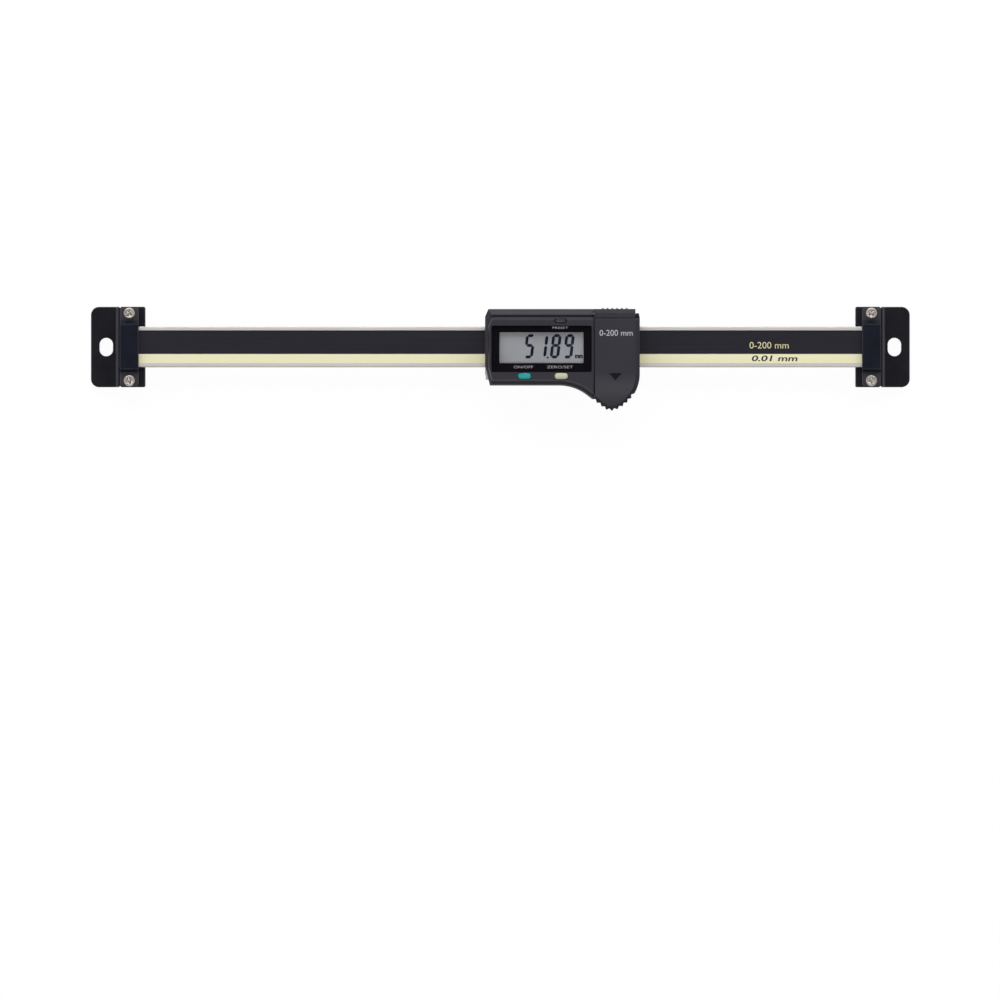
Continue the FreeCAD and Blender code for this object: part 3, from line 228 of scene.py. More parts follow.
def clear_acrylic():
    """Hard-coated acrylic pane. Clear, with one clean reflection on its face, which the coat makes weaker
    than bare acrylic's, so its index is set lower. Light from the lamps passes it unbent, so the panel below
    is lit as it is through a thin pane."""
    made, t = new_material("acrylic_hard_coated")
    at = add(t, "ShaderNodeTexCoord").outputs["Object"]
    haze = add(t, "ShaderNodeTexNoise", {"Vector": at, "Scale": per_mm(9.0), "Detail": 2.0})
    gloss = add(t, "ShaderNodeMapRange", {"Value": haze.outputs["Fac"], "To Min": 0.02, "To Max": 0.05})
    pane = add(t, "ShaderNodeBsdfPrincipled", {
        "Base Color": linear("#fbfcfc"), "Roughness": gloss.outputs["Result"], "IOR": 1.2,
        "Transmission Weight": 1.0})
    through = add(t, "ShaderNodeBsdfTransparent", {"Color": linear("#fafbfb")})
    ray = add(t, "ShaderNodeLightPath")
    both = add(t, "ShaderNodeMixShader", {
        0: ray.outputs["Is Shadow Ray"], 1: pane.outputs[0], 2: through.outputs[0]})
    add(t, "ShaderNodeOutputMaterial", {"Surface": both.outputs[0]})
    return made


def display_panel():
    """Reflective liquid crystal panel. A silver-grey reflector with a fine sparkle under glass, and slow
    drifts in tone across it."""
    made, t = new_material("liquid_crystal_reflector")
    at = add(t, "ShaderNodeTexCoord").outputs["Object"]
    grain = add(t, "ShaderNodeTexNoise", {"Vector": at, "Scale": per_mm(0.3), "Detail": 2.0})
    slow = add(t, "ShaderNodeTexNoise", {"Vector": at, "Scale": per_mm(30.0), "Detail": 1.0})
    shade = add(t, "ShaderNodeMix", {
        FACTOR: 0.3, NUMBER_A: slow.outputs["Fac"], NUMBER_B: grain.outputs["Fac"]}, data_type="FLOAT")
    colour = add(t, "ShaderNodeMix", {
        FACTOR: shade.outputs[0], COLOUR_A: linear("#757679"), COLOUR_B: linear("#88878b")},
        data_type="RGBA")
    shader = add(t, "ShaderNodeBsdfPrincipled", {
        "Base Color": colour.outputs[MIXED_COLOUR], "Roughness": 0.3, "IOR": 1.45,
        "Specular IOR Level": 0.1})
    add(t, "ShaderNodeOutputMaterial", {"Surface": shader.outputs[0]})
    return made


def printing_ink(name, code, deep, level=0.5):
    """Screen printed ink. Flat and matt, with a slight unevenness from the mesh of the screen. Print on the
    back of a pane has next to no gloss of its own, because the pane wets it."""
    made, t = new_material(name)
    at = add(t, "ShaderNodeTexCoord").outputs["Object"]
    mesh = add(t, "ShaderNodeTexNoise", {"Vector": at, "Scale": per_mm(0.25), "Detail": 2.0})
    colour = add(t, "ShaderNodeMix", {
        FACTOR: mesh.outputs["Fac"], COLOUR_A: linear(deep), COLOUR_B: linear(code)}, data_type="RGBA")
    shader = add(t, "ShaderNodeBsdfPrincipled", {
        "Base Color": colour.outputs[MIXED_COLOUR], "Roughness": 0.6, "IOR": 1.5,
        "Specular IOR Level": level})
    add(t, "ShaderNodeOutputMaterial", {"Surface": shader.outputs[0]})
    return made


def plated_metal(name, code, deep, rough=(0.14, 0.3), grain=0.3):
    """Bright plated or pressed metal. It mirrors softly, and small clouds in its surface break up the
    reflection."""
    made, t = new_material(name)
    at = add(t, "ShaderNodeTexCoord").outputs["Object"]
    cloud = add(t, "ShaderNodeTexNoise", {"Vector": at, "Scale": per_mm(grain), "Detail": 3.0})
    colour = add(t, "ShaderNodeMix", {
        FACTOR: cloud.outputs["Fac"], COLOUR_A: linear(deep), COLOUR_B: linear(code)}, data_type="RGBA")
    gloss = add(t, "ShaderNodeMapRange", {
        "Value": cloud.outputs["Fac"], "To Min": rough[0], "To Max": rough[1]})
    shader = add(t, "ShaderNodeBsdfPrincipled", {
        "Base Color": colour.outputs[MIXED_COLOUR], "Metallic": 1.0, "Roughness": gloss.outputs["Result"]})
    add(t, "ShaderNodeOutputMaterial", {"Surface": shader.outputs[0]})
    return made


def striped(name, code, deep, pitch, axis, rough):
    """Layered stock: even stripes of two tones across one axis, each one pitch wide, with a little waver.
    The Wave texture is sin(20 scale x), so half a period is pi / (20 scale)."""
    made, t = new_material(name)
    at = add(t, "ShaderNodeTexCoord").outputs["Object"]
    band = add(t, "ShaderNodeTexWave", {
        "Vector": at, "Scale": per_mm(pitch) / 20.0 * math.pi, "Distortion": 0.4}, bands_direction=axis)
    colour = add(t, "ShaderNodeMix", {
        FACTOR: band.outputs["Fac"], COLOUR_A: linear(deep), COLOUR_B: linear(code)}, data_type="RGBA")
    shader = add(t, "ShaderNodeBsdfPrincipled", {
        "Base Color": colour.outputs[MIXED_COLOUR], "Roughness": rough})
    add(t, "ShaderNodeOutputMaterial", {"Surface": shader.outputs[0]})
    return made


def solder_mask():
    """Green lacquer over copper tracks. Glossy, with the tracks showing as paler lines."""
    made, t = new_material("circuit_board_lacquer")
    at = add(t, "ShaderNodeTexCoord").outputs["Object"]
    track = add(t, "ShaderNodeTexBrick", {
        "Vector": at, "Scale": per_mm(4.0), "Mortar Size": 0.04, "Color1": linear("#14502a"),
        "Color2": linear("#175a30"), "Mortar": linear("#2f7d46")})
    shader = add(t, "ShaderNodeBsdfPrincipled", {"Base Color": track.outputs["Color"], "Roughness": 0.3})
    add(t, "ShaderNodeOutputMaterial", {"Surface": shader.outputs[0]})
    return made


steel = brushed_metal("stainless_steel_ground", "#dcd9d6", "#cac6c3", rough=(0.52, 0.68))
frame_steel = brushed_metal("stainless_steel_milled", "#cfccc7", "#b4b0aa", rough=(0.42, 0.56), run=9.0)
# Feet: the pale band 150.7 mm from the middle, along the block's rounded end, is a painted highlight
blackened = black_oxide(
    "blackened_steel_oiled", "#222126", "#1c1b20", ("X", 150.7, 0.55, 0.5, "#47464c"), 0.4)
# Clamps: a paler grey over the ears; the wide greyer edges are partly wear and partly painted highlight on
# the bends
rubbed_and_highlit_black = black_oxide(
    "blackened_steel_rubbed_and_highlit", "#1c1f2a", "#171a23", ("Y", 12.9, 2.55, 0.9, "#3e3c42"), 0.9)
dark_film = printed_film("printed_film_black", "#2c2c33", "#26262c", 0.2, level=0.18)
cream_film = printed_film("printed_film_cream", "#f2edc8", "#eae5bb", 0.4)
# Edge colours of the moulded plastics are partly wear and partly painted highlight along the edges
dark_abs = moulded_plastic(
    "abs_moulded_dark_grey", "#35333b", "#313037", rough=(0.28, 0.4), edge="#39373f", level=0.15,
    radius=0.18)
teal_abs = moulded_plastic(
    "abs_moulded_teal", "#2a9fa0", "#259495", grain=0.5, rough=(0.3, 0.4), bump=0.08, edge="#46aba8",
    level=0.2)
cream_abs = moulded_plastic(
    "abs_moulded_cream", "#c5c5a8", "#bdbd9f", grain=0.5, rough=(0.3, 0.4), bump=0.08, level=0.2)
black_abs = moulded_plastic(
    "abs_moulded_black", "#1d1c20", "#17161a", grain=0.4, rough=(0.35, 0.45), bump=0.1)
mask_print = printing_ink("back_print_black", "#171219", "#130f15", level=0.04)
acrylic = clear_acrylic()
panel = display_panel()
segment_ink = printing_ink("liquid_crystal_segment", "#141826", "#0f121d", level=0.05)
label_ink = printing_ink("screen_ink_white", "#a3a3a8", "#96969c", level=0.2)
grey_ink = printing_ink("screen_ink_pale_grey", "#c4c4c8", "#b4b4b9")
cream_ink = printing_ink("screen_ink_cream", "#ded2a6", "#d2c699")
black_ink = printing_ink("screen_ink_black", "#1b1a1d", "#151417")
# The lid's moulded triangle takes this dark colour as painted shade; the cell's plus sign takes it as print
mark_shade_and_ink = printing_ink("moulded_mark_shade", "#1d1b20", "#17161a", level=0.05)
nickel = plated_metal("nickel_plated_steel", "#c0b9b2", "#aca59e", rough=(0.34, 0.48))
can_steel = plated_metal("drawn_steel_can", "#9a968f", "#87837c", rough=(0.38, 0.5), grain=0.8)
spring_steel = plated_metal("spring_steel_pressed", "#cbc7c0", "#b8b4ac", rough=(0.3, 0.4), grain=0.5)
bronze = brushed_metal("bronze_rolled", "#c79a5c", "#a97f47", run=12.0)
gold = plated_metal("gold_flash_contact", "#e2bb62", "#cfa64e", rough=(0.2, 0.3))
laminate = striped("glass_epoxy_laminate", "#8f9a72", "#7f8a63", 0.6, "X", 0.5)
zebra = striped("conductive_rubber_layers", "#c9a9a0", "#3a2f31", 0.4, "X", 0.7)
lacquer = solder_mask()
package = moulded_plastic("epoxy_package", "#1f1f22", "#19191c", grain=0.25, rough=(0.5, 0.65))
natural = moulded_plastic(
    "polycarbonate_natural", "#d9d7cc", "#cfccbf", grain=0.5, rough=(0.35, 0.45), bump=0.1)
socket_black = moulded_plastic("pbt_socket_black", "#1c1c1e", "#161618", grain=0.3, rough=(0.45, 0.6))

finishes = {
    steel: ["main_beam"],
    laminate: ["scale_substrate"],
    dark_film: ["scale_cover_film"],
    cream_film: ["index_band"],
    blackened: ["left_end_foot", "right_end_foot"],
    rubbed_and_highlit_black: ["left_end_clamp", "right_end_clamp"],
    frame_steel: ["slider_frame", "slider_back_plate"],
    spring_steel: ["on_off_dome", "zero_dome", "origin_dome"],
    nickel: ["clamp_screws", "body_screws", "gib_screws"],
    bronze: ["gib_strip", "battery_contact_plus", "battery_contact_minus"],
    dark_abs: ["front_cover", "battery_lid", "data_port_cover"],
    mask_print: ["window_mask"],
    acrylic: ["window_lens"],
    panel: ["lcd_glass"],
    natural: ["lcd_holder"],
    zebra: ["lcd_contact_strips"],
    lacquer: ["reader_board"],
    package: ["controller_chip"],
    can_steel: ["battery_cell"],
    socket_black: ["data_connector"],
    teal_abs: ["on_off_button"],
    cream_abs: ["zero_button"],
    black_abs: ["origin_button"],
}
for finish, names in finishes.items():
    for name in names:
        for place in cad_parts[name].material_slots:
            place.material = finish


# Shapes, in millimetres up to the mesh, which is in metres

POLE = 0.001                    # radius of the ring round a pole, which a cap closes
MERGE_DISTANCE = 1e-7           # doubles and the shortest edge, in metres
LEAST_EDGE = 1e-8
SHARP_ANGLE = math.radians(38)  # edges that turn more than this stay sharp


def skin(points, base=0):
    """Four-cornered faces between neighbours on a grid of points whose second direction closes on itself."""
    nu, nv = points.shape[:2]
    i, j = np.meshgrid(np.arange(nu - 1), np.arange(nv), indexing="ij")
    k = (j + 1) % nv
    quads = np.stack([i * nv + j, i * nv + k, (i + 1) * nv + k, (i + 1) * nv + j], axis=-1)
    return quads.reshape(-1, 4) + base


def piece(name, shells, finish, body, replaced=()):
    """One object from closed shells, each a grid of rings from one pole or end cap to the other, given in
    millimetres. The end rings are closed by a cap, doubles are merged and the faces turned outwards."""
    verts = []
    faces = []
    base = 0
    for points in shells:
        nu, nv = points.shape[:2]
        verts.append(points.reshape(-1, 3) * MM)
        faces += skin(points, base).tolist()
        faces.append(list(range(base, base + nv)))
        faces.append(list(range(base + (nu - 1) * nv, base + nu * nv)))
        base += nu * nv
    mesh = bpy.data.meshes.new(name)
    mesh.from_pydata(np.concatenate(verts).tolist(), [], faces)
    return settle(name, mesh, finish, body, replaced)


def settle(name, mesh, finish, body, replaced=()):
    """Merge doubles, turn faces outwards, smooth all but sharp edges, and let the object ride on its body."""
    work = bmesh.new()
    work.from_mesh(mesh)
    bmesh.ops.remove_doubles(work, verts=work.verts, dist=MERGE_DISTANCE)
    bmesh.ops.dissolve_degenerate(work, edges=work.edges, dist=LEAST_EDGE)
    bmesh.ops.recalc_face_normals(work, faces=work.faces)
    work.to_mesh(mesh)
    work.free()
    mesh.shade_smooth()
    mesh.set_sharp_from_angle(angle=SHARP_ANGLE)
    mesh.materials.append(finish)
    made = bpy.data.objects.new(name, mesh)
    bpy.context.collection.objects.link(made)
    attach(made, body)
    if replaced:
        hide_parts(*replaced)
    return made


def prism(outline, low, high):
    """An outline of x, y points carried from one height to another: the heights may differ point by point."""
    outline = np.asarray(outline, float)
    rings = [np.column_stack([outline, np.broadcast_to(z, len(outline))]) for z in (low, high)]
    return np.stack(rings)


def box_mm(node):
    """Lowest and highest corner of a CAD node's box, in millimetres."""
    lo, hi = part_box(node)
    return np.array(lo) / MM, np.array(hi) / MM


def turned(radii, heights, around=96):
    """A profile of radii and heights turned about its axis: x = r cos a, y = r sin a, z = h."""
    a = np.linspace(0, 2 * np.pi, around, endpoint=False)
    r = np.asarray(radii, float)[:, None]
    h = np.asarray(heights, float)[:, None]
    return np.stack([r * np.cos(a), r * np.sin(a), h + 0 * r * a], axis=-1)


def ease(x):
    """Smooth step from 0 at x = 0 to 1 at x = 1: x^2 (3 - 2 x)."""
    x = np.clip(x, 0, 1)
    return x * x * (3 - 2 * x)


def cross_recess(points, reach, width, depth, blend):
    """Press a cross into the top: the depth is full inside two crossed bars and eases out over the blend
    width, and it shallows by a share of it towards the ends of the bars."""
    shallowing = 0.45
    x, y = points[..., 0], points[..., 1]
    r = np.hypot(x, y)
    bars = [
        ease((width / 2 - np.abs(v)) / blend + 0.5) * ease((reach - np.abs(u)) / blend + 0.5)
        for u, v in ((x, y), (y, x))]
    mask = np.maximum(*bars)
    points[..., 2] -= depth * mask * (1 - shallowing * np.clip(r / reach, 0, 1))
    return points


def hex_recess(points, flats, depth, blend):
    """Press a six-sided socket into the top: full depth where all three flat distances are inside."""
    x, y = points[..., 0], points[..., 1]
    turns = np.array([0.0, np.pi / 3, 2 * np.pi / 3])
    far = np.abs(x[..., None] * np.cos(turns) + y[..., None] * np.sin(turns)).max(axis=-1)
    points[..., 2] -= depth * ease((flats / 2 - far) / blend + 0.5)
    return points


def turn_flat(points, angle):
    """Turn about the upright axis by an angle in degrees."""
    c, s = math.cos(math.radians(angle)), math.sin(math.radians(angle))
    return points @ np.array([[c, s, 0], [-s, c, 0], [0, 0, 1]])


def corner_places(lo, hi, head):
    """The four x, y places of screws whose heads, of this radius, fill the corners of a box."""
    return [(x, y) for x in (lo[0] + head, hi[0] - head) for y in (lo[1] + head, hi[1] - head)]


# Clamp screws: pan heads with a cross recess
def pan_screws():
    """Dome h = top - drop (r / R)^2 out to the shoulder R, a quarter ellipse down to the rim, the seat, and
    the shank with a bevelled tip. Each screw stands at a turn of its own, in degrees."""
    lo, hi = box_mm("clamp_screws")
    head, head_height, shank, tip, tip_bevel = 2.25, 1.7, 1.25, 0.9, 0.4
    shoulder, drop, rim = 0.72 * head, 0.16, 0.45
    first_turn, next_turn = 20, 37
    seat, top = hi[2] - head_height, hi[2]
    r = np.linspace(POLE, shoulder, 34)
    q = np.linspace(0.1, np.pi / 2, 9)
    dome_h = top - drop * (r / shoulder) ** 2
    side_r = shoulder + (head - shoulder) * np.sin(q)
    side_h = seat + rim + (top - drop - seat - rim) * np.cos(q)
    radii = np.concatenate([r, side_r, [head, shank, shank, tip, POLE]])
    heights = np.concatenate([dome_h, side_h, [seat, seat, lo[2] + tip_bevel, lo[2], lo[2]]])
    shells = []
    for n, (x, y) in enumerate(corner_places(lo, hi, head)):
        ring = turned(radii, heights)
        cross_recess(ring[:len(r)], reach=1.35, width=0.72, depth=0.85, blend=0.16)
        ring = turn_flat(ring, first_turn + next_turn * n)
        shells.append(ring + np.array([x, y, 0]))
    return shells


piece("clamp_screws_cross_head", pan_screws(), nickel, "rail", ["clamp_screws"])


# Body screws: countersunk, seen from behind
def sunk_screws():
    """Flat head with a thin rim, a cone under it at 45 degrees, and a plain shank with a bevelled tip. It is
    drawn facing up and turned over by z = -z. Each screw stands at a turn of its own, in degrees."""
    lo, hi = box_mm("body_screws")
    head, shank, tip, tip_bevel = 1.7, 0.85, 0.6, 0.3
    flat, rim_top, rim_foot = 0.95 * head, 0.06, 0.1
    first_turn, next_turn = 12, 51
    face, end = -lo[2], -hi[2]
    cone_foot = face - rim_foot - (head - shank)
    r = np.linspace(POLE, flat, 30)
    radii = np.concatenate([r, [head, head, shank, shank, tip, POLE]])
    heights = np.concatenate([
        np.full_like(r, face), [face - rim_top, face - rim_foot, cone_foot, end + tip_bevel, end, end]])
    shells = []
    for n, (x, y) in enumerate(corner_places(lo, hi, head)):
        ring = turned(radii, heights)
        cross_recess(ring[:len(r)], reach=0.95, width=0.42, depth=0.6, blend=0.1)
        ring = turn_flat(ring, first_turn + next_turn * n)
        ring[..., 2] *= -1
        shells.append(ring + np.array([x, y, 0]))
    return shells


piece("body_screws_cross_head", sunk_screws(), nickel, "slider", ["body_screws"])


# Gib screws: socket set screws in the side of the frame
def set_screws():
    """Cylinder with a chamfered rim, a tapered tip and a six-sided socket in its outer end. It is drawn
    upright and laid along Y by x, y, z = x, z, -y."""
    lo, hi = box_mm("gib_screws")
    rad = (hi[2] - lo[2]) / 2
    chamfer, tip, taper = 0.15, 0.6 * rad, 0.3
    r = np.linspace(POLE, rad - chamfer, 26)
    radii = np.concatenate([r, [rad, rad, tip, POLE]])
    heights = np.concatenate([np.full_like(r, hi[1]), [hi[1] - chamfer, lo[1] + taper, lo[1], lo[1]]])
    shells = []
    for x in (lo[0] + rad, hi[0] - rad):
        ring = turned(radii, heights)
        hex_recess(ring[:len(r)], flats=0.9, depth=0.8, blend=0.08)
        laid = np.stack([ring[..., 0], ring[..., 2], -ring[..., 1]], axis=-1)
        shells.append(laid + np.array([x, 0, (lo[2] + hi[2]) / 2]))
    return shells


piece("gib_set_screws", set_screws(), nickel, "slider", ["gib_screws"])


# Buttons: keys with round ends and a soft crown
def pill(length, width, insets, heights, arc=28):
    """Round-ended outline drawn in step by step: x = +-h + r cos a, y = r sin a with r = width / 2 - inset
    and h = (length - width) / 2."""
    least = 1e-4
    a = np.linspace(-np.pi / 2, np.pi / 2, arc)
    a = np.concatenate([a, a + np.pi])
    h = (length - width) / 2
    middle = np.repeat([h, -h], arc)
    r = np.maximum(width / 2 - np.asarray(insets, float), least)[:, None]
    z = np.asarray(heights, float)[:, None]
    return np.stack([middle + r * np.cos(a), r * np.sin(a), z + 0 * r * a], axis=-1)


def key(node, length, width, crown):
    """Key above its flange: straight sides, a shoulder h = top - s (1 - sin q), then a crown that rises as
    1 - (r / R)^2 to the middle; the flange and the stem are blocks below."""
    lo, hi = box_mm(node)
    x, y = (lo[0] + hi[0]) / 2, (lo[1] + hi[1]) / 2
    s = 0.4
    stem_length, stem_half, flange_height = 4.05, 0.75, 0.9
    q = np.linspace(0, np.pi / 2, 9)
    flange = lo[2] + stem_length
    shoulder_in = s * (1 - np.cos(q))
    shoulder_up = hi[2] - crown - s * (1 - np.sin(q))
    rest = np.linspace(s, width / 2, 8)[1:]
    rise = hi[2] - crown * ((width / 2 - rest) / (width / 2 - s)) ** 2
    insets = np.concatenate([[0, 0], shoulder_in, rest])
    heights = np.concatenate([[flange, hi[2] - crown - 2 * s], shoulder_up, rise])
    top = pill(length, width, insets, heights) + np.array([x, y, 0])
    ears = [(lo[0], lo[1]), (hi[0], lo[1]), (hi[0], hi[1]), (lo[0], hi[1])]
    stem = stem_half * np.array([(-1, -1), (1, -1), (1, 1), (-1, 1)]) + np.array([x, y])
    return [top, prism(ears, flange, flange + flange_height), prism(stem, lo[2], flange)]


for key_name, length, width, crown, finish, slot in (
        ("on_off", 5.1, 2.4, 0.12, teal_abs, "teal_key"),
        ("zero", 5.1, 2.4, 0.12, cream_abs, "cream_key"),
        ("origin", 4.6, 1.7, 0.05, black_abs, "black_key")):
    button = key_name + "_button"
    shells = key(button, length, width, crown)
    piece(key_name + "_key_crowned", shells, finish, key_name + "_key", [button])


# Snap domes under the keys, drawn at rest; on the real part they give way as a key goes down
def snap_dome(node):
    """Pressed cap with a rounded square rim R(a) = w / (|cos a|^4 + |sin a|^4)^(1/4) that stands on its
    corners: z = top - (top - foot) u^2 from the middle, u = 0, to the rim, u = 1, lifted by
    lift u^2 (1 + cos 4a) / 2 between the corners. The under side is the same face one sheet lower."""
    lo, hi = box_mm(node)
    sheet, lift = 0.12, 0.15
    a = np.linspace(0, 2 * np.pi, 64, endpoint=False)
    u = np.linspace(0.01, 1, 10)[:, None]
    rim = (hi[0] - lo[0]) / 2 / (np.abs(np.cos(a)) ** 4 + np.abs(np.sin(a)) ** 4) ** 0.25
    x = (lo[0] + hi[0]) / 2 + u * rim * np.cos(a)
    y = (lo[1] + hi[1]) / 2 + u * rim * np.sin(a)
    z = hi[2] - (hi[2] - lo[2] - sheet) * u ** 2 + lift * u ** 2 * (1 + np.cos(4 * a)) / 2
    face = np.stack([x, y, z], axis=-1)
    under = face[::-1] - np.array([0, 0, sheet])
    return [np.concatenate([face, under])]


for key_name, keep in (("on_off", 0.42), ("zero", 0.42), ("origin", 0.53)):
    dome_node = key_name + "_dome"
    shells = snap_dome(dome_node)
    dome = piece(key_name + "_snap_dome", shells, spring_steel, "slider", [dome_node])
    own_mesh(dome)


# Display: slanted seven-bar digits, decimal point and unit
BARS = {
    "0": "abcdef", "1": "bc", "2": "abged", "3": "abgcd", "4": "fgbc",
    "5": "afgcd", "6": "afgedc", "7": "abc", "8": "abcdefg", "9": "abcdfg",
}


def bar_outline(which, w, h, t, gap, waist):
    """Six-pointed bar of a digit that is w wide and h high about its middle: a to f run round from the top,
    g lies across the waist, a little above the middle. Bars are t thick and end one gap from the corner."""
    p = t / 2

    def lying(y):
        x = w / 2 - p - gap
        return [(-x, y), (-x + p, y + p), (x - p, y + p), (x, y), (x - p, y - p), (-x + p, y - p)]

    def upright(x, y0, y1):
        low, high = y0 + gap, y1 - gap
        return [(x, low), (x + p, low + p), (x + p, high - p), (x, high), (x - p, high - p), (x - p, low + p)]

    top, side = h / 2 - p, w / 2 - p
    return {
        "a": lying(top), "g": lying(waist), "d": lying(-top),
        "b": upright(side, waist, top), "c": upright(side, -top, waist),
        "f": upright(-side, waist, top), "e": upright(-side, -top, waist),
    }[which]


def display_bars(text, start, pitch, middle, w, h, t, slant):
    """Bars of all digits, leaned over by x += slant * y, each a thin layer on the panel's face. The point
    stands on the digits' foot, a little before the middle between the second digit and the third."""
    gap, waist, layer = 0.06, 0.33, 0.03
    point_half, point_back = 0.36, 0.55
    z = box_mm("lcd_glass")[1][2]
    shells = []
    for n, figure in enumerate(text):
        for which in BARS[figure]:
            o = np.array(bar_outline(which, w, h, t, gap, waist))
            o[:, 0] += slant * o[:, 1]
            shells.append(prism(o + np.array([start + n * pitch, middle]), z, z + layer))
    point = point_half * np.array([(-1, -1), (1, -1), (1, 1), (-1, 1)])
    point[:, 0] += slant * point[:, 1]
    place = np.array([start + 1.5 * pitch - point_back, middle - h / 2 + point_half])
    shells.append(prism(point + place, z, z + layer))
    return shells


digits = display_bars("5189", start=11.41, pitch=5.15, middle=0.16, w=3.73, h=9.55, t=1.18, slant=0.12)
piece("display_digits", digits, segment_ink, "slider")


# Printed words, and marks: the lid's triangle is a moulded mark darkened with painted shade
def words(name, text, centre, size, z, finish, body, bold=0.0, lean=0.0):
    """Lettering turned into a thin mesh, fitted to a width and height, and set on a face."""
    thick = 0.02
    curve = bpy.data.curves.new(name, "FONT")
    curve.body = text
    curve.align_x = "CENTER"
    curve.extrude = 0.5
    curve.offset = bold
    curve.shear = lean
    curve.resolution_u = 4
    helper = bpy.data.objects.new(name + "_outline", curve)
    bpy.context.collection.objects.link(helper)
    ready = helper.evaluated_get(bpy.context.evaluated_depsgraph_get())
    mesh = bpy.data.meshes.new_from_object(ready)
    bpy.data.objects.remove(helper)
    bpy.data.curves.remove(curve)
    p = np.empty(len(mesh.vertices) * 3)
    mesh.vertices.foreach_get("co", p)
    p = p.reshape(-1, 3)
    lo, hi = p.min(axis=0), p.max(axis=0)
    p = (p - (lo + hi) / 2) / (hi - lo) * np.array([size[0], size[1], thick])
    p += np.array([centre[0], centre[1], z + thick / 2])
    mesh.vertices.foreach_set("co", (p * MM).ravel())
    mesh.materials.clear()
    return settle(name, mesh, finish, body)


lens_face = box_mm("window_lens")[1][2]
panel_face = box_mm("lcd_glass")[1][2]
film_face = box_mm("scale_cover_film")[1][2]
lid_face = box_mm("battery_lid")[1][2]
words("label_on_off", "ON/OFF", (9.05, -8.0), (7.6, 1.05), lens_face, label_ink, "slider")
words("label_zero", "ZERO/SET", (23.4, -8.0), (10.2, 1.05), lens_face, label_ink, "slider")
words("label_set", "PRESET", (23.5, 7.4), (6.2, 0.8), lens_face, label_ink, "slider")
words("display_unit", "mm", (30.8, -3.85), (3.1, 1.4), panel_face, segment_ink, "slider",
      bold=0.06)
words("lid_range", "0-200 mm", (45.4, 5.4), (13.0, 2.3), lid_face, grey_ink, "battery_door")
words("beam_range", "0-200 mm", (105.6, 0.65), (15.4, 2.6), film_face, cream_ink, "rail")
words("beam_step", "0.01 mm", (107.8, -4.5), (18.0, 2.3), film_face, black_ink, "rail",
      bold=0.02, lean=0.15)


def lid_mark():
    """Triangle that points the way the lid slides, laid on the lid's falling front: beyond the line where the
    fall starts, z = face - R + sqrt(R^2 - fall^2)."""
    x, y, half_width, half_height = 45.14, -11.8, 2.6, 1.45
    fall_start, fall_radius = -10.0, 55.0
    sunk, proud = 0.1, 0.02
    outline = np.array([(x - half_width, y + half_height), (x, y - half_height),
                        (x + half_width, y + half_height)])
    edge = np.linspace(0, 1, 12, endpoint=False)[:, None]
    ring = np.concatenate([a + (b - a) * edge for a, b in zip(outline, np.roll(outline, -1, axis=0))])
    fall = np.clip(fall_start - ring[:, 1], 0, None)
    z = lid_face - fall_radius + np.sqrt(fall_radius ** 2 - fall ** 2)
    return [prism(ring, z - sunk, z + proud)]


# The triangle's dark colour is painted shade of a moulded mark
piece("lid_arrow", lid_mark(), mark_shade_and_ink, "battery_door")


# Data outlet pins and the plus sign on the cell
def outlet_pins():
    """Five flat blades in a row inside the outlet's mouth: one outline that narrows to its tip, repeated
    along X."""
    lo, hi = box_mm("data_connector")
    half, tip, pitch, half_thick = 0.3, 0.12, 1.27, 0.15
    root, neck, end = hi[1] - 2.5, hi[1] - 0.7, hi[1] - 0.4
    mid = (lo[0] + hi[0]) / 2
    z = (lo[2] + hi[2]) / 2
    blade = np.array([(-half, root), (half, root), (half, neck), (tip, end), (-tip, end), (-half, neck)])
    return [
        prism(blade + np.array([mid + pitch * k, 0]), z - half_thick, z + half_thick)
        for k in range(-2, 3)]


def plus_sign():
    """Cross of two bars on the can, drawn as one twelve-cornered outline: a quarter of it in four turns."""
    lo, hi = box_mm("battery_cell")
    half, reach, layer = 0.3, 1.4, 0.04
    x, y = (lo[0] + hi[0]) / 2, (lo[1] + hi[1]) / 2
    quarter = np.array([(half, reach), (half, half), (reach, half)])
    spins = [quarter @ np.array([[c, -s], [s, c]]) for c, s in ((1, 0), (0, 1), (-1, 0), (0, -1))]
    return [prism(np.concatenate(spins) + np.array([x, y]), hi[2], hi[2] + layer)]


piece("data_outlet_pins", outlet_pins(), gold, "slider")
piece("cell_plus_sign", plus_sign(), mark_shade_and_ink, "slider")


# Floor, light and camera, in metres
def stage_floor():
    """White sweep under the part: it shows white to the eye and in mirror-like surfaces, and keeps a soft
    shadow."""
    reach, z, white = 6.0, -0.0002, 0.95
    made, t = new_material("white_paper_floor")
    ray = add(t, "ShaderNodeLightPath")
    seen = add(t, "ShaderNodeMath", {
        0: ray.outputs["Is Camera Ray"], 1: ray.outputs["Is Glossy Ray"]}, operation="MAXIMUM")
    seen = add(t, "ShaderNodeMath", {
        0: seen.outputs[0], 1: ray.outputs["Is Transmission Ray"]}, operation="MAXIMUM")
    strength = add(t, "ShaderNodeMath", {0: seen.outputs[0], 1: white}, operation="MULTIPLY")
    glow = add(t, "ShaderNodeEmission", {"Color": linear("#ffffff"), "Strength": strength.outputs[0]})
    paper = add(t, "ShaderNodeBsdfDiffuse", {"Color": linear("#484848")})
    both = add(t, "ShaderNodeAddShader", {0: glow.outputs[0], 1: paper.outputs[0]})
    add(t, "ShaderNodeOutputMaterial", {"Surface": both.outputs[0]})
    mesh = bpy.data.meshes.new("floor")
    corners = [(-reach, -reach, z), (reach, -reach, z), (reach, reach, z), (-reach, reach, z)]
    mesh.from_pydata(corners, [], [(0, 1, 2, 3)])
    mesh.materials.append(made)
    floor = bpy.data.objects.new("floor", mesh)
    bpy.context.collection.objects.link(floor)


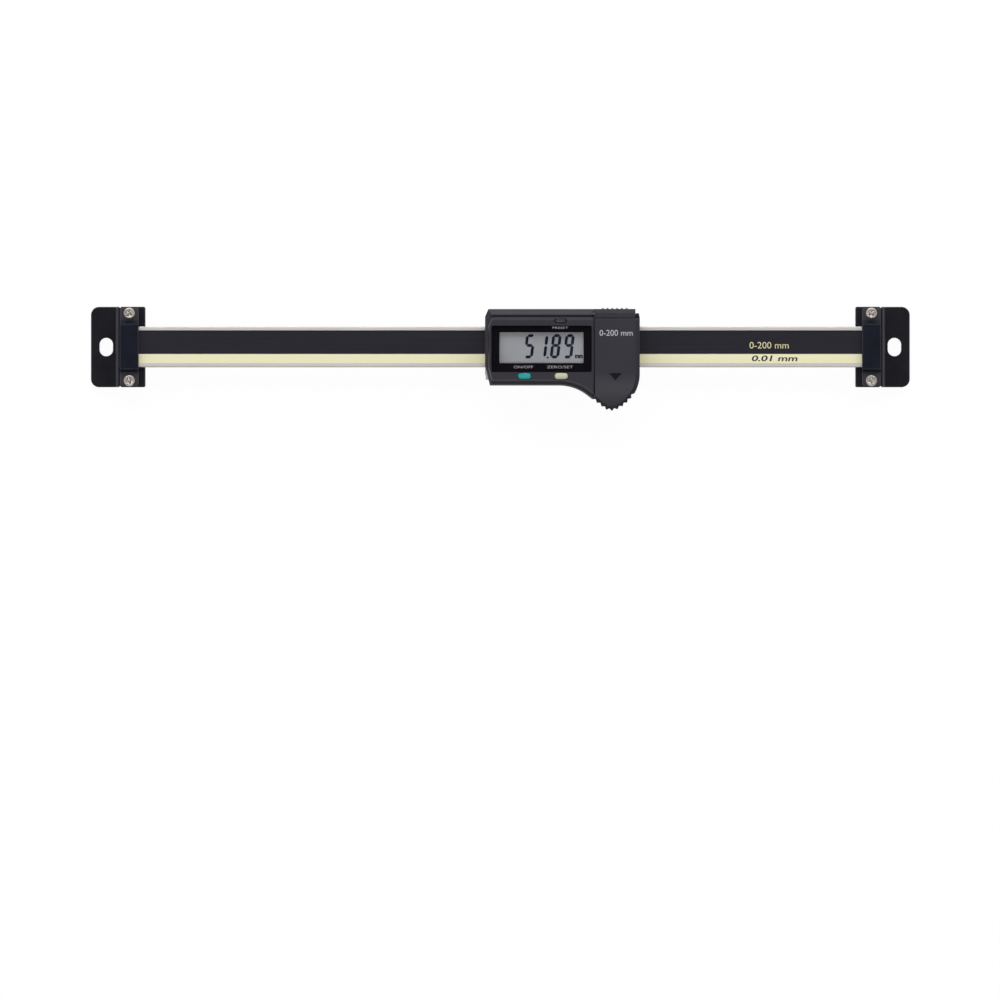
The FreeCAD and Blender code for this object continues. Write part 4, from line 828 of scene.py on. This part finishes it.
def softbox(name, direction, distance, size, power):
    """Rectangular lamp in one direction from the part, facing it."""
    lamp = bpy.data.lights.new(name, "AREA")
    lamp.shape = "RECTANGLE"
    lamp.size, lamp.size_y = size
    lamp.energy = power
    holder = bpy.data.objects.new(name, lamp)
    way = Vector(direction).normalized()
    holder.location = way * distance
    holder.rotation_mode = "QUATERNION"
    holder.rotation_quaternion = way.to_track_quat("Z", "Y")
    bpy.context.collection.objects.link(holder)


stage_floor()
softbox("sheen_front", (0.0, -0.225, 0.974), distance=2.0, size=(1.8, 0.28), power=13.0)
softbox("low_back", (0.0, 0.866, 0.5), distance=2.0, size=(4.4, 1.2), power=58.0)
softbox("side_right", (0.96, 0.0, 0.28), distance=2.2, size=(1.6, 0.9), power=4.8)
softbox("side_left", (-0.96, 0.0, 0.28), distance=2.2, size=(1.6, 0.9), power=4.8)

# The world is white to the eye. As a light it is weak, and weaker still overhead.
world = bpy.data.worlds.new("studio")
world.use_nodes = True
sky = world.node_tree
sky.nodes.clear()
path = add(sky, "ShaderNodeLightPath")
way_up = add(sky, "ShaderNodeSeparateXYZ", {0: add(sky, "ShaderNodeTexCoord").outputs["Generated"]})
vault = add(sky, "ShaderNodeMapRange", {
    "Value": way_up.outputs["Z"], "From Min": 0.55, "From Max": 0.95, "To Min": 0.3, "To Max": 0.02})
brightness = add(sky, "ShaderNodeMix", {
    FACTOR: path.outputs["Is Camera Ray"], NUMBER_A: vault.outputs["Result"], NUMBER_B: 1.0},
    data_type="FLOAT")
air = add(sky, "ShaderNodeBackground", {"Color": linear("#ffffff"), "Strength": brightness.outputs[0]})
add(sky, "ShaderNodeOutputWorld", {"Surface": air.outputs[0]})
bpy.context.scene.world = world

# The camera looks straight down from far off, with the part above the middle of the frame
camera = bpy.data.cameras.new("camera")
camera.sensor_width = 36.0
camera.lens = 457.4
eye = bpy.data.objects.new("camera", camera)
eye.location = (-0.00014, -0.06016, 5.0)
bpy.context.collection.objects.link(eye)
bpy.context.scene.camera = eye
bpy.context.scene.view_settings.view_transform = "Standard"
